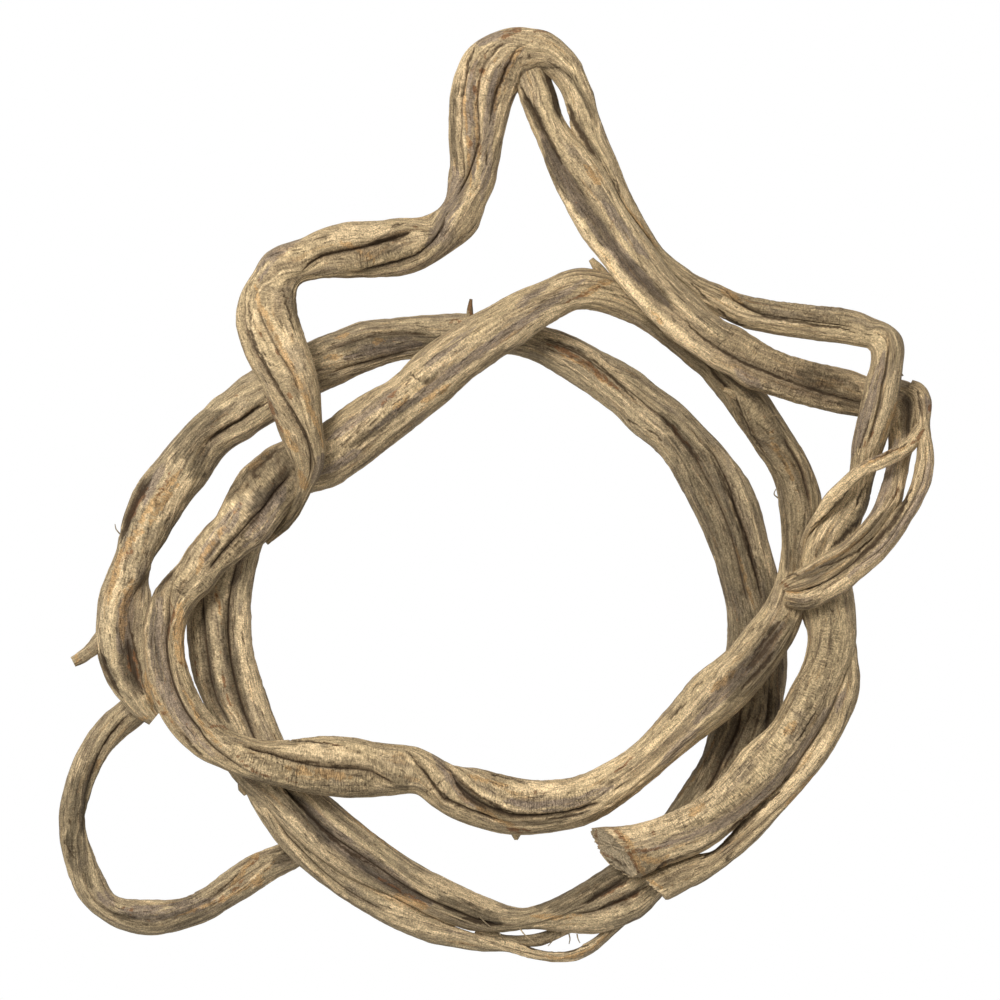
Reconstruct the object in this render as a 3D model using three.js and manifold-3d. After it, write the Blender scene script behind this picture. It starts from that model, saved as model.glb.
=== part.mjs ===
// A dried coiled vine lying flat: a woody stem of grooved strands, wound round twice, which
// forks, crosses itself and ends in a sawn cut, a split curl and a small side loop.
// Units are millimetres, +Z is up, and the origin is under the middle of the coil on the surface.
import * as THREE from 'three';
import { mergeVertices } from 'three/addons/utils/BufferGeometryUtils.js';
import Module from 'manifold-3d';

const wasm = await Module();
wasm.setup();

// Driving dimensions of the real vine
const COIL_LENGTH = 513; // from the crest of the highest bend to the lowest strand
const COIL_LENGTH_IN_PICTURE = 934; // the same length in pixels
const EYE_HEIGHT = 2600; // height that the coil was looked at from
const FLAT = 0.6; // how far the undersides are worn flat where they rest
const JOINT_GAP = 0.35; // gap between pieces that touch

// The routes below are read by eye from the picture, in pixels, with heights in millimetres
const SCALE = COIL_LENGTH / COIL_LENGTH_IN_PICTURE;
const EYE = [500, 500];
const MIDDLE = [496, 495];
const FINE_STEP = 2; // pixels between the points of a finely divided route
const SECTION_STEP = 30; // pixels between the sections of a stem
const UNDERSIDE_GROOVES = 2;
const UNDERSIDE_DEPTH = 0.16;
const GROOVE_REACH = 0.55; // radians to either side; a groove that reaches further is a round valley

const points = (text) => text.trim().split(/\s+/).map((item) => item.split(',').map(Number));

// A point of the picture at a height, as a place in the model
function place(x, y, z) {
  const near = 1 - z / EYE_HEIGHT;
  return [
    ((x - EYE[0]) * near + EYE[0] - MIDDLE[0]) * SCALE,
    -((y - EYE[1]) * near + EYE[1] - MIDDLE[1]) * SCALE,
    z,
  ];
}

// Each stem has a spine, its two visible edges, and slots of grooves from left to right of travel.
// A slot holds the grooves that follow each other along the stem, each as [depth, route, reach].

// The sawn end, the right side, the upper arm, the crest and the left bend, down to the hook
const MAIN_STEM = {
  thickness: 0.82,
  spine: points(`
    613,852,44 632,850,44 650,846,43 675,838,42 703,822,41 730,801,40 757,776,39 780,750,39
    800,720,38 815,690,37 824,660,36 829,630,36 828,600,36 826,572,36 831,543,37 841,515,38
    853,490,40 862,465,43 868,440,46 874,415,49 880,390,51 885,368,51 886,350,50 878,336,48
    862,330,46 840,326,44 800,319,42 765,312,41 735,303,41 712,292,42 690,278,43 670,262,43
    655,246,42 640,226,40 627,203,37 613,178,34 600,153,31 588,128,27 578,102,23 568,80,20
    556,62,17 540,50,16 522,46,15 504,52,15 490,66,15 483,85,15 480,110,15 476,140,16
    474,170,19 469,195,22 459,213,26 444,227,29 425,236,32 400,243,35 375,247,38 345,251,41
    315,256,44 292,265,46 276,279,47 268,297,48 268,318,49 273,340,50 281,361,51 290,383,52
    298,405,51 303,428,51 307,450,50 309,470,46 305,488,40 298,503,34 289,516,29 278,529,25
    265,542,22`),
  left: points(`
    601,826 639,823 665,815 703,795 729,769 741,752 772,723 782,706 790,690 803,665 808,639
    805,625 800,610 798,590 800,565 803,548 809,533 819,519 832,506 844,492 849,477 851,460
    852,445 855,430 858,417 862,398 866,378 870,365 871,357 868,349 855,346 840,343 820,341
    800,338 780,335 760,331 745,328 730,322 713,312 696,302 680,288 663,274 647,257 632,238
    618,217 605,194 598,174 587,158 577,143 571,131 569,120 566,106 562,94 556,84 549,77
    541,71 531,73 523,82 517,92 511,106 508,118 505,130 502,145 500,158 497,170 495,185 490,195
    486,202 480,222 474,234 463,243 450,252 440,259 420,270 400,276 360,278 320,279 300,284
    297,290 297,310 300,322 304,335 309,350 316,372 319,385 321,400 322,420 324,435 326,450
    323,468 317,481 310,492 305,502 300,512 293,522 285,531 277,537 266,546`),
  right: points(`
    640,877 658,870 680,861 694,856 705,851 717,843 728,834 737,827 746,819 756,809 768,799
    780,788 805,752 831,711 838,693
    852,664 856,645 856,614 853,590 852,570 855,550 862,522 868,505 872,485 877,468 884,448
    890,432 893,420 897,405 901,378 903,360 904,350 903,340 898,331 890,325 877,321 868,316
    860,312 850,310 840,308 820,306 800,304 780,302 760,299 740,294 730,290 720,285 700,277
    690,270 680,263 670,255 661,246 656,238 645,220 634,200 625,180 618,162 610,145 602,125
    597,110 592,90 587,80 580,62 570,50 560,40 550,33 540,30 528,29 520,28 512,28 500,31
    480,40 470,47 461,60 456,72 452,85 450,100 449,140 450,165 447,180 446,195 443,203
    436,210 430,213 420,217 400,218 380,221 350,222 330,226 320,229 310,234 300,239 280,245
    270,250 260,260 255,270 250,280 245,285 240,297 237,308 236,320 237,330 240,340 243,350
    247,360 253,372 262,385 267,400 273,418 281,438 289,455 295,470 297,482 296,491 292,501
    285,511 277,521 268,532 257,543`),
  slots: [
    [
      [0.1, points('735,778 765,745 782,722 797,693 817,652 822,616')],
      [0.22, points('517,52 508,65 502,78 496,92 492,108 490,130')],
      [0.22, points('446,214 441,229 433,241 424,250 411,257 395,262 378,266 360,270 340,273')],
    ],
    [
      [0.28, points('857,455 862,440 867,425 871,410 877,390 883,370 888,355 889,340 885,325'), 0.8],
      [0.24, points('862,337 850,331 840,328 820,325 800,322 770,317 750,310 740,305 730,298')],
      [0.16, points('600,138 593,114 586,99 576,85 562,76'), 0.8],
      [0.26, points('500,44 492,55 484,68 480,80 478,100 479,125 480,150 484,180 483,200 478,218')],
      [0.38, points('417,229 407,234 395,239 380,243 365,247 350,250 335,253 320,257 310,263 302,273')],
      [0.22, points('256,295 260,310 265,325 272,338 277,350 290,370 295,382 300,395 306,410')],
    ],
    [
      [0.15, points('645,849 672,841 700,830 730,812 760,788 785,760 806,728 822,695 832,660'), 0.9],
      [0.22, points('475,45 470,58 466,75 464,90 462,105 463,130 461,140 464,160 466,180 467,200')],
      [0.3, points(`245,290 246,305 248,320 251,332 255,345 260,355 266,366 273,377 285,397
        293,410 300,423 306,435 311,448 315,462 317,475 312,488`)],
    ],
  ],
};

// The second strand beside the sawn end
const SAWN_STRAND = {
  thickness: 0.9,
  spine: points(`
    844,630,36 851,652,35 854,675,34 850,700,33 838,728,33 822,756,34 800,785,34 775,812,35 748,838,35
    720,857,36 695,872,36 672,884,36 656,890,36`),
  left: points(`
    852,628 857,650 859,667 859,693 848,723 831,754 805,787 780,815 754,843 729,864 703,882 683,892
    668,900`),
  right: points(`
    833,627 837,650 839,670 831,694 824,711 802,750 777,784 765,796 755,806 745,815 737,824 730,834
    722,842 714,849 706,853 697,854 680,858 660,867 645,874`),
  slots: [[[0.15, points('852,700 838,735 812,774 780,806 748,835 715,862 690,877')]]],
};

// The lower arm of the crest, which passes under the upper arm and curls round into a split end
const CURL_STEM = {
  thickness: 0.78,
  spine: points(`
    527,62,16 536,84,17 545,108,21 556,135,26 568,160,31 583,185,37 600,210,43 617,234,48
    634,256,52 650,276,54 668,297,54 688,316,53 708,333,51 730,349,48 755,362,44 785,375,40
    815,386,35 845,393,30 870,397,27 890,401,28 902,412,31 905,430,34 903,452,38 897,475,42
    888,495,46 876,514,50 860,532,53 842,548,55 820,563,56 800,575,55 788,581,54 781,587,52`),
  left: points(`
    543,62 550,74 554,83 557,93 560,104 563,117 570,128 584,143 597,158 606,171 614,188 622,204 632,218
    645,235 657,252 668,266 682,282 700,298 715,313 727,322 740,327 750,334 760,341 780,351
    800,358 820,363 840,367 855,371 867,376 885,379 904,380 917,386 922,400 921,418 917,436
    911,455 908,470 904,485 902,500 894,515 881,535 868,549 850,567 830,580 810,588 795,592 784,594`),
  right: points(`
    514,72 518,92 522,105 529,122 536,137 542,152 548,170 556,188 567,210 578,230 590,247
    600,258 610,272 620,285 630,297 640,307 650,318 665,333 680,345 700,358 710,366 730,377
    745,388 760,392 780,398 800,404 820,409 840,413 858,416 875,419 886,428 889,440 886,468
    882,485 877,500 872,512 860,527 840,545 820,556 805,566 796,571 786,576 779,583`),
  slots: [
    [[0.1, points('600,178 615,205 632,235 644,251 660,272 685,298 705,315 725,330 750,343')]],
    [
      [0.36, points(`522,90 530,105 538,120 545,135 552,150 565,173 580,195 595,215 610,240
        625,262 645,285 665,305 685,322 700,335 720,349 735,357 750,365 770,374 780,378 800,385
        820,392 840,397 860,402 878,405`), 0.7],
      [0.42, points('892,390 903,398 909,410 911,426 909,448'), 0.9],
      [0.2, points('903,478 895,497 884,513 870,531 856,544 838,558')],
    ],
  ],
};

// The outer strand of the split curl
const CURL_OUTER = {
  thickness: 0.95,
  spine: points(`
    908,388,32 916,393,34 922,403,36 925,420,38 925,440,41 925,462,44 920,483,47 911,503,50 899,522,52
    884,541,54 866,558,55 846,573,55 824,587,54 804,597,53 785,596,52`),
  left: points(`
    909,379 919,382 926,388 930,395 931,406 930,418 930,428 932,440 934,460 931,485 925,497 920,508
    912,520 905,532 895,545 885,558 875,568 860,580 850,589 833,600 815,609 800,611 784,606`),
  right: points(`
    906,395 911,399 915,408 917,425 917,452 914,470 910,485 904,499 892,513 880,529 865,546 846,564
    828,577 810,586 795,590 781,588`),
  slots: [[[0.22, points(`924,440 926,460 921,485 912,503 900,523 885,545 860,565 835,583
    810,598`)]]],
};

// The strand of the curl that crosses over the right side and lies down along it
const CURL_BRIDGE = {
  thickness: 0.75,
  spine: points(`
    923,428,41 913,441,44 899,449,49 885,457,56 870,464,58 856,474,57 843,485,54 831,498,51 820,512,47
    810,526,43 804,541,39 804,557,37`),
  left: points(`
    930,427 920,441 912,453 905,457 895,462 885,467 875,471 865,475 857,482 852,487 845,496 840,503
    832,510 824,519 816,526 809,535 806,545 807,560`),
  right: points(`
    915,425 907,437 900,444 890,449 880,454 868,459 858,465 848,473 840,481 830,490 822,500 817,510
    811,519 805,530 801,540 800,550 801,560`),
  slots: [[[0.15, points('916,436 902,448 885,457 868,466 852,478 838,491 825,505 812,522')]]],
};

// The ring on top: from the hook down the left, along the front, up the right and back over
const FRONT_STEM = {
  thickness: 0.8,
  spine: points(`
    318,461,27 303,471,27 282,487,28 262,505,30 242,526,32 224,546,34 206,566,35 190,588,35 177,612,35
    170,640,35 171,667,36 178,694,38 192,720,42 212,743,46 238,759,50 268,768,51 300,773,50
    335,774,48 365,771,46 395,769,44 420,775,42 445,788,40 475,800,37 510,806,35 545,808,34
    580,802,34 612,788,35 640,770,36 665,748,38 690,722,40 715,697,42 740,672,43 762,645,43
    780,615,41 791,587,38 796,560,34 799,530,30 798,500,27 792,470,25 781,440,24 765,415,24
    745,393,25 722,374,26 700,357,27 678,340,28 655,322,29 634,307,31 610,295,34 583,289,37
    555,296,39 530,310,40 505,327,39 480,343,38 455,360,36 430,381,33 405,401,31 380,422,29
    355,441,27 330,456,27 300,473,27`),
  left: points(`
    330,482 310,492 298,502 287,514 276,529 264,544 250,552 238,562 222,575 212,590 200,600 190,615
    186,625 184,645 187,665 191,678 198,695 205,708 218,722 232,731 250,737 262,740 286,740
    300,738 324,736 356,738 384,744 415,747 433,755 453,766 479,769 517,778 555,780 581,774
    606,762 632,746 657,720 675,700 693,678 726,652 749,624 767,601 778,575 781,550 781,530
    780,515 778,500 775,483 768,468 755,450 740,428 730,414 720,400 710,387 700,374 690,367
    680,358 670,350 660,342 650,335 640,328 620,319 600,312 578,309 570,312 560,318 550,323
    540,329 530,337 520,345 508,353 490,366 468,382 450,399 430,415 410,432 390,447 370,463
    350,477 340,484 327,489 312,492 302,497`),
  right: points(`
    308,430 296,436 284,441 270,446 254,458 245,465 237,475 230,487 222,505 216,517 207,525 200,533
    185,552 180,562 172,570 160,582 151,598 145,625 144,652 150,690 161,717 179,741 201,759
    219,767 235,774 257,781 280,787 300,792 325,796 351,798 389,796 417,794 427,802 440,811
    453,818 479,828 504,834 530,834 555,831 581,826 606,815 632,797 657,777 683,754 708,734
    739,711 767,680 787,652 801,624 806,600 808,575 812,550 818,525 822,505 818,485 808,460
    790,430 780,415 772,403 765,393 750,384 735,375 720,363 700,346 680,328 660,308 645,290
    625,278 606,271 600,270 590,268 580,268 570,269 555,275 545,280 530,286 520,290 500,300
    490,306 475,313 460,322 440,336 420,350 390,380 370,391 350,403 340,410 323,423 300,436 288,442`),
  slots: [
    [
      [0.4, points(`435,758 445,768 455,782 463,790 475,799 491,807 510,813 530,817 550,817
        568,815 590,809 610,800`)],
      [0.2, points('610,800 640,780 670,751 700,718 725,690 745,667 765,640 783,614'), 0.9],
      [0.32, points('768,455 757,440 748,425 742,412 735,398 720,380 710,367')],
      [0.08, points(`575,298 545,308 515,325 485,347 455,368 425,392 395,415 365,440
        340,460`)],
    ],
    [
      [0.28, points('407,751 420,765 428,778 438,790 450,804 470,817 490,827 505,832')],
      [0.3, points('811,518 808,500 804,485 800,465 790,440 780,425')],
      [0.08, points('590,283 560,290 530,302 500,317 470,335 440,355 410,378 380,400 350,424')],
    ],
    [
      [0.4, points('300,466 288,477 275,490 262,508 250,520 240,532 230,543 220,553 203,578')],
      [0.4, points('235,745 260,752 285,759 305,764 325,767 342,768 360,769 372,771 385,778 400,786')],
    ],
    [
      [0.34, points('306,436 292,442 279,447 265,463 250,477 240,487 224,502')],
      [0.3, points(`172,580 170,600 170,640 170,660 180,685 190,705 198,725 205,738 218,750
        235,762 255,776`)],
    ],
  ],
};

// The ring underneath: inner left strands, along the bottom, up the right, back over and left
const BACK_STEM = {
  thickness: 0.78,
  spine: points(`
    262,522,19 243,552,16 230,580,14 222,610,14 219,640,14 223,670,14 232,700,14 245,728,16
    259,752,19 273,775,22 291,797,25 311,818,27 334,837,27 362,857,25 394,876,21 430,893,18
    455,905,16 483,914,15 509,919,14 536,917,14 564,914,14 590,907,14 622,889,14 652,862,14
    682,832,14 708,802,14 730,770,14 743,735,14 752,695,14 756,655,14 755,620,14 750,585,14
    741,550,14 728,515,14 712,482,14 690,450,14 662,420,14 631,397,14 600,376,14 572,361,14
    545,348,14 520,340,14 495,336,14 468,335,14 440,336,14 410,338,14 380,343,14 350,352,14
    320,365,14 290,382,14 262,397,14 235,414,14 210,433,14 190,454,15 172,480,15 157,507,15
    145,535,15 133,563,16 126,592,17 123,622,18 123,650,20 127,675,22 135,697,24 146,712,25
    154,719,25`),
  left: points(`
    270,530 263,546 255,575 251,600 252,640 254,655 260,675 270,705 283,738 297,765 313,784
    331,798 364,825 402,853 440,876 479,895 504,904 524,908 555,898 581,884 606,868 630,848
    662,817 672,803 688,780 703,754 708,734 716,700 723,670 726,647 727,627 725,600 714,560
    700,525 685,495 665,460 650,445 630,430 620,418 600,402 580,388 550,369 535,361 507,354
    480,356 450,357 410,359 400,360 380,366 360,374 340,385 321,393 300,405 274,422 258,431
    250,438 240,443 230,450 222,458 216,467 208,480 200,490 190,502 180,518 172,530 163,545
    152,560 150,578 151,600 152,640 155,680 160,706 161,714`),
  right: points(`
    243,508 222,540 203,570 192,600 187,623 188,640 190,660 193,676 203,700 212,722 219,745
    226,768 240,786 262,806 285,830 310,852 340,873 375,890 393,897 415,908 440,920 470,930
    500,932 530,929 568,932 598,933 627,924 642,917 658,901 676,880 692,858 705,836 728,808 757,775
    778,735 783,703 787,672 787,657 785,625 781,595 777,570 768,541 759,506 747,478 728,452
    700,422 680,402 660,388 640,372 620,360 600,350 580,339 560,331 545,327 520,321 490,316
    465,314 440,315 420,316 400,318 380,320 360,322 350,326 340,330 320,337 307,343 280,355
    250,372 240,378 225,392 215,398 205,408 190,421 180,432 170,443 162,453 155,462 148,470
    140,480 132,492 127,505 122,518 120,530 117,550 110,568 105,580 100,593 97,618 96,640
    98,657 105,678 112,690 125,706 135,717 148,723`),
  slots: [
    [
      [0.36, points(`240,552 236,567 230,590 228,640 237,690 253,735 265,758 277,778 290,795
        324,829 333,836 377,866 415,891 453,909 491,923 512,927`)],
      [0.3, points('575,908 588,902 600,895 615,885 633,874')],
      [0.34, points('700,800 712,783 722,760 735,735 742,705')],
      [0.22, points(`752,615 747,600 740,570 735,548 730,530 722,510 715,495 705,475 695,457
        680,436 668,422 655,412 640,400 625,388 612,378 600,369 585,358 570,350 550,342 535,335`)],
      [0.22, points('420,349 400,352 380,357 350,366 335,371 318,377')],
      [0.36, points('268,402 250,413 235,423 220,432 205,444 200,450')],
      [0.4, points('150,565 142,580 134,597 129,615 128,638 130,660 136,684 145,706'), 0.9],
    ],
    [
      [0.3, points('215,565 206,590 205,610 207,640 210,665 215,690 232,730')],
      [0.22, points('278,790 300,812 322,836 350,862 385,885 420,902'), 0.6],
      [0.25, points('565,914 590,912 610,906 630,897 648,887')],
      [0.2, points('760,735 767,715 768,680')],
      [0.3, points(`763,600 756,575 752,560 748,542 740,520 733,500 728,485 720,468 713,455
        700,435`)],
      [0.22, points('438,337 410,334 390,335 370,337 345,345 330,350 313,357')],
      [0.12, points('250,385 235,395 225,402')],
      [0.3, points('155,474 140,495 130,510 122,530 118,545'), 0.7],
      [0.25, points('103,655 108,668 115,685 125,700')],
    ],
  ],
};

// The lower lobe of the bottom bundle, which leaves it as a thin strand and joins it again
const THIN_STEM = {
  thickness: 0.85,
  spine: points(`
    252,770,19 261,791,21 274,816,23 292,842,24 317,866,23 350,889,20 385,908,17 420,922,14 455,934,13
    485,941,12 510,944,10 532,951,8 555,956,7 578,955,8 598,944,10 612,931,12 624,919,14`),
  left: points(`
    268,765 275,783 285,803 302,832 330,860 360,878 393,896 415,908 440,921 460,929 480,935 500,937
    513,939 537,949 568,951 588,942 598,935 610,922`),
  right: points(`
    240,773 246,792 256,812 267,829 279,845 297,864 325,886 351,904 377,919 402,932 428,942 453,947
    479,951 509,952 530,958 555,962 573,961 593,953 611,938 622,928`),
  slots: [[
    [0.3, points('258,790 270,805 285,832 300,848 320,868 345,888 370,903 395,915')],
    [0.2, points('470,935 495,944 520,951 555,957 585,950')],
  ]],
};

// The short strand that lies behind the thin one
const MIDDLE_STRAND = {
  thickness: 0.9,
  spine: points('478,926,10 500,937,9 518,940,8 538,940,8 557,933,9 580,922,11'),
  left: points('480,918 500,933 515,935 532,934 548,930 562,925 578,915'),
  right: points('474,934 500,942 515,945 530,947 542,946 554,941 566,935 584,928'),
  slots: [[[0.12, points('490,934 515,941 540,940 565,930')]]],
};

// The small loop at the lower left
const SIDE_LOOP = {
  thickness: 0.88,
  spine: points(`
    305,850,7 287,859,7 268,868,7 245,878,7 220,891,7 195,903,7 170,912,7 145,917,7 120,913,7
    100,902,7 86,882,7 77,860,7 73,835,7 73,808,7 80,784,7 90,762,7 103,742,7 118,726,7
    134,712,7 152,700,7`),
  left: points(`
    308,862 295,869 279,877 257,891 234,904 208,920 179,930 152,935 125,931 100,918 78,896
    62,851 59,817 65,784 78,750 98,721 120,702 140,689`),
  right: points(`
    295,838 277,844 263,850 246,858 223,873 205,887 183,898 163,900 138,899 117,896 107,882
    96,860 86,833 86,811 94,784 107,757 125,737 143,723 160,710`),
  slots: [[
    [0.16, points('290,858 270,862 250,873 225,890 200,905 175,915')],
    [0.14, points('150,922 125,918 108,910 92,896')],
    [0.3, points('84,840 82,820 83,800 88,780 95,762 103,745 115,730 128,715')],
  ]],
};

// Broken twig stubs and knots, each as a short plain stem
const stub = (spine, radii) => ({ thickness: 1, slots: [], spine: points(spine), radii });
const LEFT_TWIG = stub('116,634,18 104,640,18 97,645,18 90,651,18 82,657,19 77,660,20 73,662,20',
  [12, 13.5, 10.5, 7.6, 6.6, 6.4, 5.2]);
const TOP_TWIG = stub('474,326,14 470,315,17 470,307,19 471,299,20', [5, 4, 3, 1.5]);
const CREST_TWIG = stub('606,280,33 600,270,36 595,264,37 591,259,37', [7, 6, 5, 3]);
const FRONT_KNOT = stub('516,816,33 516,825,33 516,831,32 516,836,32 516,840,31', [6, 5, 6.5, 5.5, 2]);
const ARM_KNOT = stub('430,373,39 420,370,41 411,369,39', [2, 6, 2]);
const RING_STUB = stub('738,397,28 731,392,31 724,389,32', [5, 4, 2.5]);
const LOWER_KNOT = stub('239,781,22 242,788,22 246,795,22', [2, 4.5, 2]);

const smoothstep = (t) => THREE.MathUtils.smoothstep(t, 0, 1);

// The spine divided finely, with the sideways direction at each point
function divide(spine) {
  const curve = new THREE.CatmullRomCurve3(
    spine.map(([x, y, z]) => new THREE.Vector3(x, y, z)), false, 'centripetal');
  curve.arcLengthDivisions = spine.length * 12;
  const steps = Math.round(curve.getLength() / FINE_STEP);
  const line = curve.getSpacedPoints(steps);
  return line.map((p, i) => {
    const ahead = line[Math.min(i + 2, steps)];
    const behind = line[Math.max(i - 2, 0)];
    const along = new THREE.Vector2(ahead.x - behind.x, ahead.y - behind.y).normalize();
    return { x: p.x, y: p.y, z: p.z, sideX: along.y, sideY: -along.x };
  });
}

// How far a route lies to the left of the spine, at each point of the spine that it passes
function offsetsAlong(route, line, start = line.length - 1) {
  const reach = 12;
  const curve = new THREE.CatmullRomCurve3(
    route.map(([x, y]) => new THREE.Vector3(x, y, 0)), false, 'centripetal');
  curve.arcLengthDivisions = route.length * 8;
  const samples = curve.getSpacedPoints(Math.ceil(curve.getLength() / 4));
  const hits = [];
  let from = 0;
  let to = Math.round(start);
  for (const sample of samples) {
    let best = from;
    let least = Infinity;
    for (let i = from; i <= to; i++) {
      const distance = Math.hypot(line[i].x - sample.x, line[i].y - sample.y);
      if (distance < least) [best, least] = [i, distance];
    }
    const p = line[best];
    hits.push([best, (sample.x - p.x) * p.sideX + (sample.y - p.y) * p.sideY]);
    from = Math.max(0, best - reach);
    to = Math.min(line.length - 1, best + 3 * reach);
  }
  return hits.sort((a, b) => a[0] - b[0]);
}

// The value at every point of the spine, from the values at some of them
function fill(hits, count) {
  const values = [];
  let k = 0;
  for (let i = 0; i < count; i++) {
    while (k < hits.length - 1 && hits[k + 1][0] < i) k++;
    const [a, valueA] = hits[k];
    const [b, valueB] = hits[Math.min(k + 1, hits.length - 1)];
    const t = b > a ? THREE.MathUtils.clamp((i - a) / (b - a), 0, 1) : 0;
    values.push(valueA + (valueB - valueA) * t);
  }
  return values;
}

function average(values, reach) {
  return values.map((_, i) => {
    const near = values.slice(Math.max(0, i - reach), i + reach + 1);
    return near.reduce((sum, value) => sum + value, 0) / near.length;
  });
}

const FIRST_PART = 0.3; // the share of the spine in which an edge begins

// A stem's width, height and grooves at every point of its spine
function measure(stem) {
  const line = divide(stem.spine);
  const count = line.length;
  let left;
  let right;
  if (stem.radii) {
    const places = stem.radii.map((r, i) => [(i * (count - 1)) / (stem.radii.length - 1), r]);
    left = fill(places, count);
    right = left.map((r) => -r);
  } else {
    left = average(fill(offsetsAlong(stem.left, line, count * FIRST_PART), count), 3);
    right = average(fill(offsetsAlong(stem.right, line, count * FIRST_PART), count), 3);
  }
  const half = left.map((value, i) => (value - right[i]) / 2);
  const shift = left.map((value, i) => (value + right[i]) / 2);
  const thickness = average(half, 8).map((value) => value * SCALE * stem.thickness);
  const slots = stem.slots.map((grooves) => {
    const hits = [];
    const depths = new Array(count).fill(0);
    const reaches = new Array(count).fill(GROOVE_REACH);
    for (const [depth, route, reach = GROOVE_REACH] of grooves) {
      const run = offsetsAlong(route, line);
      const [first, last] = [run[0][0], run[run.length - 1][0]];
      const fade = Math.min(12, (last - first) / 3);
      for (const [i, offset] of run) hits.push([i, (offset - shift[i]) / half[i]]);
      for (let i = first; i <= last; i++) {
        depths[i] = depth * smoothstep((i - first) / fade) * smoothstep((last - i) / fade);
        reaches[i] = reach;
      }
    }
    hits.sort((a, b) => a[0] - b[0]);
    return { across: average(fill(hits, count), 4), depths, reaches };
  });
  return { line, half, shift, thickness, slots };
}

const SLOT_SPACING = 0.16;

// The angles and depths of the grooves round one section; angle 0 is the right edge. A route
// marks a groove's floor, so its mouth lies further out from the spine
function groovesAt(stem, i) {
  const across = stem.slots.map((slot) => slot.across[i] / (1 - slot.depths[i]));
  const limit = 0.92;
  for (let k = 0; k < across.length; k++) {
    const most = k ? across[k - 1] - SLOT_SPACING : limit;
    across[k] = Math.min(across[k], most);
  }
  for (let k = across.length - 1; k >= 0; k--) {
    const least = k < across.length - 1 ? across[k + 1] + SLOT_SPACING : -limit;
    across[k] = Math.max(across[k], least);
  }
  const grooves = across.map((value, k) => ({
    angle: Math.acos(-value),
    depth: stem.slots[k].depths[i],
    reach: stem.slots[k].reaches[i],
  }));
  grooves.reverse();
  for (let k = 1; k <= UNDERSIDE_GROOVES; k++) {
    const drift = 0.22 * Math.sin(i / 45 + k);
    grooves.push({
      angle: Math.PI * (1 + k / (UNDERSIDE_GROOVES + 1)) + drift,
      depth: UNDERSIDE_DEPTH,
      reach: GROOVE_REACH,
    });
  }
  return grooves;
}

// The factor that the grooves take off the section's radius at an angle
function carve(grooves, angle) {
  let factor = 1;
  grooves.forEach((groove, k) => {
    const next = grooves[(k + 1) % grooves.length].angle;
    const last = grooves[(k + grooves.length - 1) % grooves.length].angle;
    const turn = THREE.MathUtils.euclideanModulo(angle - groove.angle + Math.PI, 2 * Math.PI);
    const away = turn - Math.PI;
    const room = THREE.MathUtils.euclideanModulo(
      away > 0 ? next - groove.angle : groove.angle - last, 2 * Math.PI) || 2 * Math.PI;
    const reach = Math.min(groove.reach, room * 0.7);
    const t = Math.min(1, Math.abs(away) / reach);
    const shape = groove.reach > GROOVE_REACH ? 1 - t * t : 1 - t;
    factor *= 1 - groove.depth * shape * shape;
  });
  return factor;
}

// The angles at which a section has corners: its edges, its grooves and between them
function cornersOf(grooves) {
  const marks = [0, Math.PI, ...grooves.map((groove) => groove.angle)].sort((a, b) => a - b);
  const corners = [];
  marks.forEach((mark, k) => {
    const next = k + 1 < marks.length ? marks[k + 1] : 2 * Math.PI;
    corners.push(mark, (mark + next) / 2);
  });
  return corners;
}

const SQUARE = [0, 0];
const ROUND = [...Array(8).keys()].map((k) => (k * Math.PI) / 4);

// One section as places in the model; grow is added all round, slant leans an end face with
// height and skew with the distance from the spine, and push moves it along the stem
function section(stem, i, grow, [slant, skew], push) {
  const { x, y, z, sideX, sideY } = stem.line[i];
  const grooves = groovesAt(stem, i);
  const corners = stem.slots.length ? cornersOf(grooves) : ROUND;
  return corners.map((angle) => {
    const factor = stem.slots.length ? carve(grooves, angle) : 1;
    const across = stem.shift[i] - Math.cos(angle) * (stem.half[i] * factor + grow / SCALE);
    const up = Math.sin(angle) * (stem.thickness[i] * factor + grow);
    const lean = (slant * up + push) / SCALE + skew * across;
    return place(x + sideX * across - sideY * lean, y + sideY * across + sideX * lean, z + up);
  });
}

// A closed body through the sections from one point of the spine to another
function loft(stem, from, to, { grow = 0, startFace = SQUARE, endFace = SQUARE } = {}) {
  const steps = Math.max(1, Math.round(((to - from) * FINE_STEP) / SECTION_STEP));
  const rings = [];
  for (let k = 0; k <= steps; k++) {
    const i = Math.round(from + ((to - from) * k) / steps);
    const face = k === 0 ? startFace : k === steps ? endFace : SQUARE;
    const push = k === 0 ? -grow : k === steps ? grow : 0;
    rings.push(section(stem, i, grow, face, push));
  }
  const sides = rings[0].length;
  const positions = rings.flat(2);
  const index = [];
  for (let k = 0; k < steps; k++) {
    for (let j = 0; j < sides; j++) {
      const a = k * sides + j;
      const b = k * sides + ((j + 1) % sides);
      index.push(a, a + sides, b, b, a + sides, b + sides);
    }
  }
  for (const [start, flip] of [[0, false], [steps * sides, true]]) {
    const ring = rings[flip ? steps : 0];
    const middle = [0, 1, 2].map((axis) => ring.reduce((sum, p) => sum + p[axis], 0) / sides);
    const centre = positions.length / 3;
    positions.push(...middle);
    for (let j = 0; j < sides; j++) {
      const a = start + j;
      const b = start + ((j + 1) % sides);
      index.push(...(flip ? [a, centre, b] : [b, centre, a]));
    }
  }
  const geometry = new THREE.BufferGeometry();
  geometry.setAttribute('position', new THREE.Float32BufferAttribute(positions, 3));
  geometry.setIndex(index);
  return geometry;
}

// three.js geometry to a solid that can be joined and cut, and back
function solid(geometry) {
  geometry.deleteAttribute('normal');
  geometry.deleteAttribute('uv');
  const merged = mergeVertices(geometry, 1e-4);
  return new wasm.Manifold(new wasm.Mesh({
    numProp: 3,
    vertProperties: new Float32Array(merged.attributes.position.array),
    triVerts: new Uint32Array(merged.index.array),
  }));
}

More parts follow.
